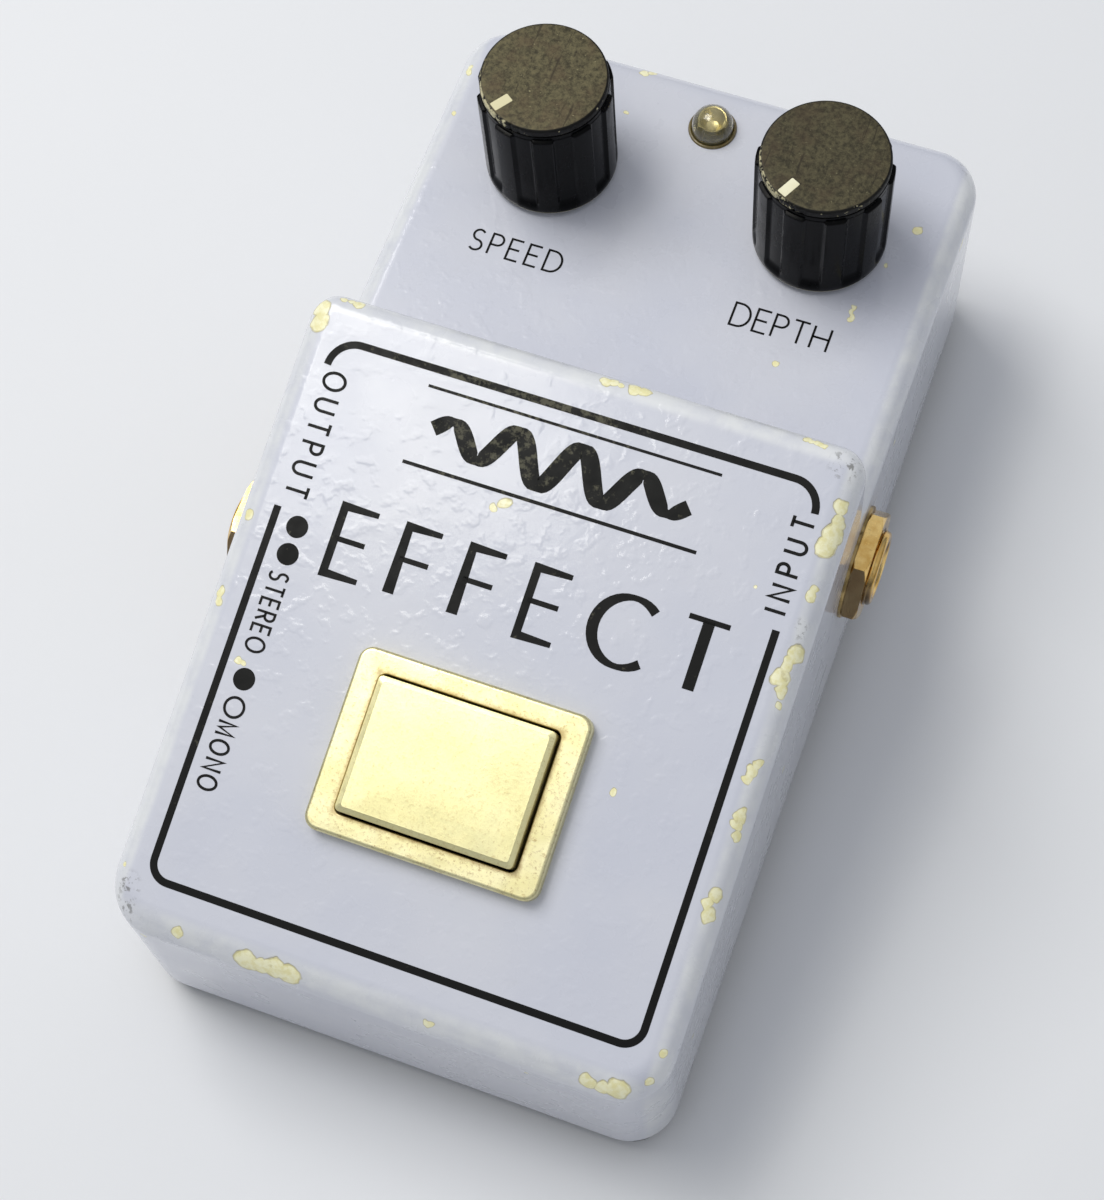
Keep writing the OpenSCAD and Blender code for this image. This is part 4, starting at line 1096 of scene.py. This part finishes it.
def build_disc(name, centre, stop):
    """Cap disc with a small round edge, nicks in its rim, and a slot for the pointer."""
    radius = RIB_R - 0.5
    bottom = KNOB_TOP - 1.2
    # Nicks as (angle, half width in degrees, depth)
    nicks = (
        (-118, 2.5, 0.12), (-101, 1.6, 0.16), (-93, 2.2, 0.10), (-150, 2.0, 0.08), (-42, 1.6, 0.08),
    )

    def rim(cut):
        def radius_of(angle):
            depth = 0.0
            for at, spread, bite in nicks:
                turn = math.degrees(angle) - at
                turn = (turn + 180) % 360 - 180
                depth = max(depth, bite * max(0.0, 1 - (turn / spread) ** 2))
            return radius - cut - depth

        return radius_of

    levels = (
        (bottom, 0.15), (bottom + 0.15, 0.0), (KNOB_TOP - 0.42, 0.0), (KNOB_TOP - 0.22, 0.04),
        (KNOB_TOP - 0.08, 0.14), (KNOB_TOP - 0.02, 0.28), (KNOB_TOP, 0.45),
    )
    profile = [(height, rim(cut)) for height, cut in levels]
    profile += [(KNOB_TOP - 0.02, 5.0), (KNOB_TOP - 0.03, 0.4)]
    disc = make_object(name, *skin(turned_rings(upright(centre), profile, KNOB_SIDES)))
    slot_rings = pointer_rings(centre, stop, ((KNOB_TOP - 0.3, 0.0), (KNOB_TOP + 0.5, 0.0)))
    combine(disc, make_object("slot", *skin(slot_rings)), "DIFFERENCE")
    finish_mesh(disc, 38)
    return disc


def build_pointer(name, centre, stop):
    levels = ((KNOB_TOP - 0.29, 0.02), (KNOB_TOP - 0.05, 0.02), (KNOB_TOP - 0.01, 0.06))
    return solid(name, pointer_rings(centre, stop, levels), 50)


# Name, centre, pointer's angle from the rear, and how bright the disc is
KNOBS = (("speed", LEFT_KNOB, 144.0, 1.0), ("depth", RIGHT_KNOB, 153.0, 0.84))
for word, centre, stop, tone in KNOBS:
    knob = build_knob(word + "_knob_body", centre, stop)
    disc = build_disc(word + "_disc", centre, stop)
    pointer = build_pointer(word + "_mark", centre, stop)
    disc_paint = knob_disc(word, centre, tone)
    body = word + "_control"
    place_piece(knob, body, knob_black(word), (word + "_knob",))
    place_piece(disc, body, disc_paint, (word + "_knob_cap",))
    cream = SLOT_MATERIALS["pointer_paint"]
    place_piece(pointer, body, cream, (word + "_pointer",))

# ---- jacks

INPUT_OUT = box_mm("input_jack_bushing")[1].x - HALF_W
OUTPUT_OUT = -HALF_W - OUTPUT_LOW.x
# Name, side, place along the case, and how far the jack stands out
JACKS = (
    ("input", 1, INPUT_Y, INPUT_OUT),
    ("output_mono", -1, OUTPUT_YS[0], OUTPUT_OUT),
    ("output_stereo", -1, OUTPUT_YS[1], OUTPUT_OUT),
)
BUSHING_R = 4.7
PLUG_R = 3.25


def at_jack(side, y):
    """The lift for rings about a jack's axis: a is forward or back, b up, level outward."""
    return lambda a, b, level: Vector((side * (HALF_W + level), y + a, JACK_Z + b))


def build_nut(name, side, y, out):
    """Hexagonal nut with a flat on top and both faces chamfered by a cone."""
    apothem = 6.35
    sixth = math.pi / 3
    outer = out - 0.95
    inner = outer - 1.9
    steps = 36
    profile = [(inner, BUSHING_R + 0.05)]
    for i in range(steps + 1):
        at = inner + (outer - inner) * i / steps
        cone = min(6.9 + (at - inner) * 1.7, 6.7 + (outer - at) * 1.7)

        def hexagon(angle, cone=cone):
            turned = (angle - math.pi / 2 + sixth / 2) % sixth - sixth / 2
            return min(apothem / math.cos(turned), cone)

        profile.append((at, hexagon))
    profile += [(outer, BUSHING_R + 0.3), (outer - 0.25, BUSHING_R + 0.05)]
    return solid(name, turned_rings(at_jack(side, y), profile, 360), 25, closed=True)


def build_bushing(name, side, y, out):
    """Threaded bushing: helical thread outside, a rounded mouth and a plain bore."""
    pitch = 0.79
    crest = BUSHING_R
    depth = 0.28
    profile = [(-6.0, PLUG_R), (-6.0, FLANGE_R), (-4.5, FLANGE_R), (-4.5, crest), (-0.2, crest)]
    thread_end = out - 0.63
    steps = round(10 * thread_end)
    for i in range(steps + 1):
        at = thread_end * i / steps

        def thread(angle, at=at):
            phase = (at / pitch + angle / math.tau) % 1.0
            wave = 1 - abs(2 * phase - 1)
            return crest - depth * (1 - min(1.0, 1.5 * wave))

        profile.append((at, thread))
    profile += [(out - 0.5 * b, crest - 0.1 - 0.45 * a) for a, b in quarter(6)]
    profile += [(out, PLUG_R + 0.5), (out - 0.1, PLUG_R + 0.32), (out - 0.5, PLUG_R)]
    return solid(name, turned_rings(at_jack(side, y), profile, 96), 32, closed=True)


def build_washer(name, side, y, out):
    thick = out - 2.85
    profile = (
        (0.0, 4.85), (0.0, 7.0), (thick - 0.12, 7.0), (thick - 0.04, 6.94), (thick, 6.84),
        (thick, 4.95), (thick - 0.06, 4.85),
    )
    return solid(name, turned_rings(at_jack(side, y), profile, 96), 40, closed=True)


for word, side, y, out in JACKS:
    node = "input_jack_bushing" if word == "input" else "output_jack_bushings"
    bushing = build_bushing(word + "_bushing", side, y, out)
    nut = build_nut(word + "_nut", side, y, out)
    washer = build_washer(word + "_washer", side, y, out)
    place_piece(bushing, "pedal", brass, (node,))
    place_piece(nut, "pedal", brass, ("jack_nuts",))
    place_piece(washer, "pedal", brass_dark, ("jack_washers",))

# ---- lamp


LAMP_SIDES = 64


def build_lens():
    """The lamp's body: a flange, a barrel and a dome."""
    radius = 2.6
    dome_z = LAMP_TOP - radius
    foot = PANEL_Z - WALL - 2
    flange_r = radius + 0.4
    profile = [(foot, 0.05), (foot, flange_r), (foot + 1, flange_r), (foot + 1, radius)]
    for a, b in quarter(14):
        profile.append((dome_z + radius * (1 - b), max(radius * (1 - a), 0.05)))
    return solid("lamp_dome", turned_rings(upright(LAMP), profile, LAMP_SIDES), 40)


def build_clip():
    """Clear collar that holds the lamp, with a rolled lip on the panel."""
    inner = 2.65
    barrel = 2.9
    lip = 3.05
    profile = [
        (PANEL_Z - WALL, inner), (PANEL_Z - WALL, barrel), (PANEL_Z + 0.02, barrel),
        (PANEL_Z + 0.02, lip),
    ]
    profile += [(PANEL_Z + 0.05 + 0.25 * (1 - b), lip - 0.2 * a) for a, b in quarter(6)]
    profile += [(PANEL_Z + 0.25, inner + 0.05), (PANEL_Z + 0.2, inner)]
    return solid("lamp_collar", turned_rings(upright(LAMP), profile, LAMP_SIDES), 40, closed=True)


def build_lamp_frame():
    """The reflector cup and the two posts cast into the lens."""
    cup_top = LAMP_TOP - 1.75
    floor_z = cup_top - 1.3
    cup = (
        (floor_z, 0.05), (floor_z, 0.55), (floor_z + 0.05, 0.75), (cup_top, 1.45), (cup_top, 1.3),
        (cup_top - 0.9, 0.5), (cup_top - 0.95, 0.05),
    )
    parts = [skin(turned_rings(upright(LAMP), cup, LAMP_SIDES))]
    foot = PANEL_Z - WALL - 1.5
    for x, half_x, top in ((-0.9, 0.32, cup_top - 0.95), (1.35, 0.25, cup_top - 0.1)):
        rings = []
        for height in (foot, top):
            outline = rounded_outline(2 * half_x, 0.9, (0.1, 0.1), 3, (LAMP.x + x, LAMP.y))
            rings.append([Vector((a, b, height)) for a, b in outline])
        parts.append(skin(rings))
    lamp_frame = make_object("lamp_frame", *merged(parts))
    finish_mesh(lamp_frame, 40)
    return lamp_frame


place_piece(build_lamp_frame(), "pedal", SLOT_MATERIALS["tinned_contacts"])
place_piece(build_lens(), "pedal", lens_resin, ("lamp_lens",))
place_piece(build_clip(), "pedal", clip_resin, ("lamp_clip",))

# ---- prints


def bend(cx, cy, rx, ry, start, end, steps):
    """Points of an elliptic arc, angles in degrees."""
    out = []
    for i in range(steps + 1):
        angle = math.radians(start + (end - start) * i / steps)
        out.append((cx + rx * math.cos(angle), cy + ry * math.sin(angle)))
    return out


# Strokes of plain capitals, one unit high: width, then open or closed lines
P_BOWL = [(0, 0), (0, 1), (0.26, 1)] + bend(0.26, 0.74, 0.26, 0.26, 90, -90, 14) + [(0, 0.48)]
S_TOP = bend(0.28, 0.75, 0.24, 0.25, 38, 270, 16)[:-1]
U_BOWL = bend(0.32, 0.32, 0.32, 0.32, 180, 360, 16)
LETTERS = {
    "C": (0.78, [bend(0.48, 0.5, 0.48, 0.5, 48, 312, 28)]),
    "D": (0.70, [[(0, 0), (0, 1), (0.26, 1)] + bend(0.26, 0.5, 0.44, 0.5, 90, -90, 22) + [(0, 0)]]),
    "E": (0.52, [[(0.52, 1), (0, 1), (0, 0), (0.52, 0)], [(0, 0.52), (0.46, 0.52)]]),
    "F": (0.50, [[(0.50, 1), (0, 1), (0, 0)], [(0, 0.52), (0.44, 0.52)]]),
    "H": (0.66, [[(0, 0), (0, 1)], [(0.66, 0), (0.66, 1)], [(0, 0.52), (0.66, 0.52)]]),
    "I": (0.0, [[(0, 0), (0, 1)]]),
    "M": (0.80, [[(0, 0), (0.04, 1), (0.40, 0.12), (0.76, 1), (0.80, 0)]]),
    "N": (0.66, [[(0, 0), (0, 1), (0.66, 0), (0.66, 1)]]),
    "O": (0.90, [bend(0.45, 0.5, 0.45, 0.5, 90, 450, 36)]),
    "P": (0.52, [P_BOWL]),
    "R": (0.56, [P_BOWL, [(0.24, 0.48), (0.56, 0)]]),
    "S": (0.54, [S_TOP + bend(0.26, 0.25, 0.27, 0.25, 90, -140, 18)]),
    "T": (0.60, [[(0, 1), (0.60, 1)], [(0.30, 0), (0.30, 1)]]),
    "U": (0.64, [[(0, 1), (0, 0.34)] + U_BOWL + [(0.64, 0.34), (0.64, 1)]]),
}


# How far the ink reaches into and above the surface
INK_LOW = -0.02
INK_HIGH = 0.03


def ribbon(points, width_of, lift):
    """A thin closed strip along a line: lift(u, v, h) puts a flat point on its surface."""
    closed = math.dist(points[0], points[-1]) < 1e-6
    path = points[:-1] if closed else list(points)
    total = len(path)
    rings = []
    for i, (u, v) in enumerate(path):
        before = path[i - 1] if closed or i > 0 else path[i]
        after = path[(i + 1) % total] if closed or i < total - 1 else path[i]
        first = Vector((u - before[0], v - before[1]))
        second = Vector((after[0] - u, after[1] - v))
        first = first.normalized() if first.length > 1e-9 else second.normalized()
        second = second.normalized() if second.length > 1e-9 else first
        along = (first + second).normalized()
        normal = Vector((-along.y, along.x))
        spread = max(0.45, normal.dot(Vector((-first.y, first.x))))
        side = normal * (width_of(first, second) / 2 / spread)
        left = (u + side.x, v + side.y)
        right = (u - side.x, v - side.y)
        corners = ((left, INK_HIGH), (right, INK_HIGH), (right, INK_LOW), (left, INK_LOW))
        rings.append([lift(*place, h) for place, h in corners])
    return skin(rings, closed=closed)


def disc_mark(cx, cy, radius, lift):
    outline = circle_points(radius, 48)
    rings = [[lift(cx + a, cy + b, h) for a, b in outline] for h in (INK_LOW, INK_HIGH)]
    return skin(rings)


def spaced_letters(word, breadth, span):
    """(letter, place along the line) for a word spread over span."""
    widths = [LETTERS[c][0] * breadth for c in word]
    gap = (span - sum(widths)) / max(len(word) - 1, 1)
    place = 0.0
    out = []
    for letter, width in zip(word, widths):
        out.append((letter, place))
        place += width + gap
    return out


def word_parts(word, start, along, up, height, span, width_of, lift, squeeze=1.0):
    """Strips for a word: start is the foot of its first letter, along and up are unit directions.
    squeeze narrows its letters."""
    parts = []
    breadth = height * squeeze
    for letter, place in spaced_letters(word, breadth, span):
        for line in LETTERS[letter][1]:
            points = []
            for u, v in line:
                a = place + u * breadth
                b = v * height
                points.append((start[0] + along[0] * a + up[0] * b, start[1] + along[1] * a + up[1] * b))
            parts.append(ribbon(points, width_of, lift))
    return parts


def even(width):
    return lambda first, second: width


def shaded(thin, thick, upright):
    """Stroke width that is thick along upright and thin across it."""

    def width_of(first, second):
        lean = (abs(first.dot(upright)) + abs(second.dot(upright))) / 2
        return thin + (thick - thin) * lean

    return width_of


LINE_X = 29.2
RIGHT_X = 29.6
LINE_LOW = 5.7
LINE_HIGH = 70.9
LINE_R = 3.2
LOW_R = 2.3
left_gap = (50.4, 67.7)
right_gap = (54.0, 67.7)
frame_paths = [
    [(-LINE_X, left_gap[1])]
    + bend(-LINE_X + LINE_R, LINE_HIGH - LINE_R, LINE_R, LINE_R, 180, 90, 12)
    + bend(RIGHT_X - LINE_R, LINE_HIGH - LINE_R, LINE_R, LINE_R, 90, 0, 12)
    + [(RIGHT_X, right_gap[1])],
    [(RIGHT_X, right_gap[0])]
    + bend(RIGHT_X - LOW_R, LINE_LOW + LOW_R, LOW_R, LOW_R, 0, -90, 12)
    + bend(-LINE_X + LOW_R, LINE_LOW + LOW_R, LOW_R, LOW_R, -90, -180, 12)
    + [(-LINE_X, left_gap[0])],
]


def cleaned(points):
    out = [points[0]]
    for point in points[1:]:
        if math.dist(point, out[-1]) > 1e-4:
            out.append(point)
    return out


LINE_W = 0.88
bold_parts = [ribbon(cleaned(path), even(LINE_W), on_face) for path in frame_paths]

# A plain wave between two thin rules, each as (place, width)
for rule_s, rule_w in ((68.8, 0.34), (59.6, 0.42)):
    bold_parts.append(ribbon([(-17.0, rule_s), (18.4, rule_s)], even(rule_w), on_face))
wave_steps = 120
wave = []
for i in range(wave_steps + 1):
    share = i / wave_steps
    x = -14.8 + 30.8 * share
    swell = 0.35 + 0.65 * math.sin(math.pi * share)
    wave.append((x, 64.2 + 2.9 * swell * math.sin(2 * math.pi * 4.0 * share)))
bold_parts.append(ribbon(wave, shaded(0.8, 2.3, Vector((0, 1))), on_face))
bold_parts += word_parts(
    "EFFECT", (-21.6, 44.7), (1, 0), (0, 1), 8.0, 46.3, shaded(0.62, 1.35, Vector((0, 1))), on_face
)
# Filled dots, then an open one
DOT_X = -26.2
for s in (48.7, 45.4, 30.3):
    bold_parts.append(disc_mark(DOT_X, s, 1.3, on_face))
bold_parts.append(ribbon(bend(DOT_X, 26.9, 1.15, 1.15, 0, 360, 40), even(0.32), on_face))
face_print = make_object("face_print", *merged(bold_parts))
place_piece(face_print, "pedal", ink_bold)

ACROSS = (1, 0)
BACK = (-1, 0)
UP = (0, 1)
DOWN = (0, -1)
# Word, foot of its first letter, direction, up, height, length, stroke, surface, squeeze
FINE_WORDS = (
    ("OUTPUT", (-29.0, 67.0), DOWN, ACROSS, 2.6, 15.0, 0.36, on_face, 0.86),
    ("STEREO", (-27.4, 43.1), DOWN, ACROSS, 2.2, 9.5, 0.30, on_face, 0.80),
    ("MONO", (-27.4, 25.0), DOWN, ACROSS, 2.2, 7.9, 0.32, on_face, 0.78),
    ("INPUT", (30.0, 56.0), UP, BACK, 2.4, 10.9, 0.38, on_face, 0.88),
    ("SPEED", (-23.0, 29.3), ACROSS, UP, 2.9, 11.8, 0.28, on_panel, 1.0),
    ("DEPTH", (10.8, 29.4), ACROSS, UP, 3.1, 12.1, 0.28, on_panel, 1.0),
)
fine_parts = []
for word, start, along, up, height, span, stroke, surface, squeeze in FINE_WORDS:
    fine_parts += word_parts(word, start, along, up, height, span, even(stroke), surface, squeeze)
small_print = make_object("small_print", *merged(fine_parts))
place_piece(small_print, "pedal", ink_fine)

# ---- spring under the button

SPRING_LOW = -8.2
SPRING_HIGH = 1.3


def build_spring():
    """Coil spring between the bracket and the button's stem plate, with closed end turns."""
    coil_r = 6.2
    wire_r = 0.3
    turns = 5
    per_turn = 48
    centre = on_face(0, BUTTON_S)
    low = SPRING_LOW + wire_r
    high = SPRING_HIGH - wire_r
    closed = 2.05 * wire_r
    pitch = (high - low - 2 * closed) / (turns - 2)
    rings = []
    for i in range(turns * per_turn + 1):
        turn = i / per_turn
        rise = closed * min(turn, 1) + pitch * min(max(turn - 1, 0), turns - 2)
        rise += closed * max(turn - turns + 1, 0)
        angle = math.tau * turn
        radial = Vector((1, 0, 0)) * math.cos(angle) + UPHILL * math.sin(angle)
        middle = centre + radial * coil_r + OUTWARD * (low + rise)
        rings.append([middle + radial * a + OUTWARD * b for a, b in circle_points(wire_r, 12)])
    return solid("return_spring", rings, 50)


spring = build_spring()
place_piece(spring, "pedal", SLOT_MATERIALS["spring_steel"], ("button_spring",))
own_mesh(spring)

# ---- carried-over CAD nodes

SLOT_OF = {part["node"]: part["material_slot"] for part in frame["record"]["subparts"]}
# Bevel widths in millimetres
BEVEL_FROM_DEGREES = 40
BEVELS = {
    "base_plate": 0.25, "battery_door": 0.25, "rubber_feet": 0.3, "base_screws": 0.15,
    "dc_jack_nut": 0.15, "dc_jack_bushing": 0.15, "circuit_board": 0.1, "battery": 0.6,
    "foot_switch": 0.2, "switch_bracket": 0.15, "pot_housings": 0.3, "trimmer_bases": 0.2,
    "input_jack_body": 0.25, "output_jack_bodies": 0.25, "dc_jack_body": 0.25, "ic_chips": 0.15,
    "electrolytic_capacitors": 0.2, "film_capacitors": 0.3, "button_stem": 0.2, "pot_nuts": 0.15,
}
for name, node in NODES.items():
    if node.hide_render:
        continue
    node.data.materials.clear()
    node.data.materials.append(SLOT_MATERIALS[SLOT_OF[name]])
    weld = node.modifiers.new("weld", "WELD")
    weld.merge_threshold = 0.000002
    if name in BEVELS:
        bevel = node.modifiers.new("bevel", "BEVEL")
        bevel.width = BEVELS[name] * MM
        bevel.segments = 2
        bevel.limit_method = "ANGLE"
        bevel.angle_limit = math.radians(BEVEL_FROM_DEGREES)
        bevel.use_clamp_overlap = True
        bevel.harden_normals = True
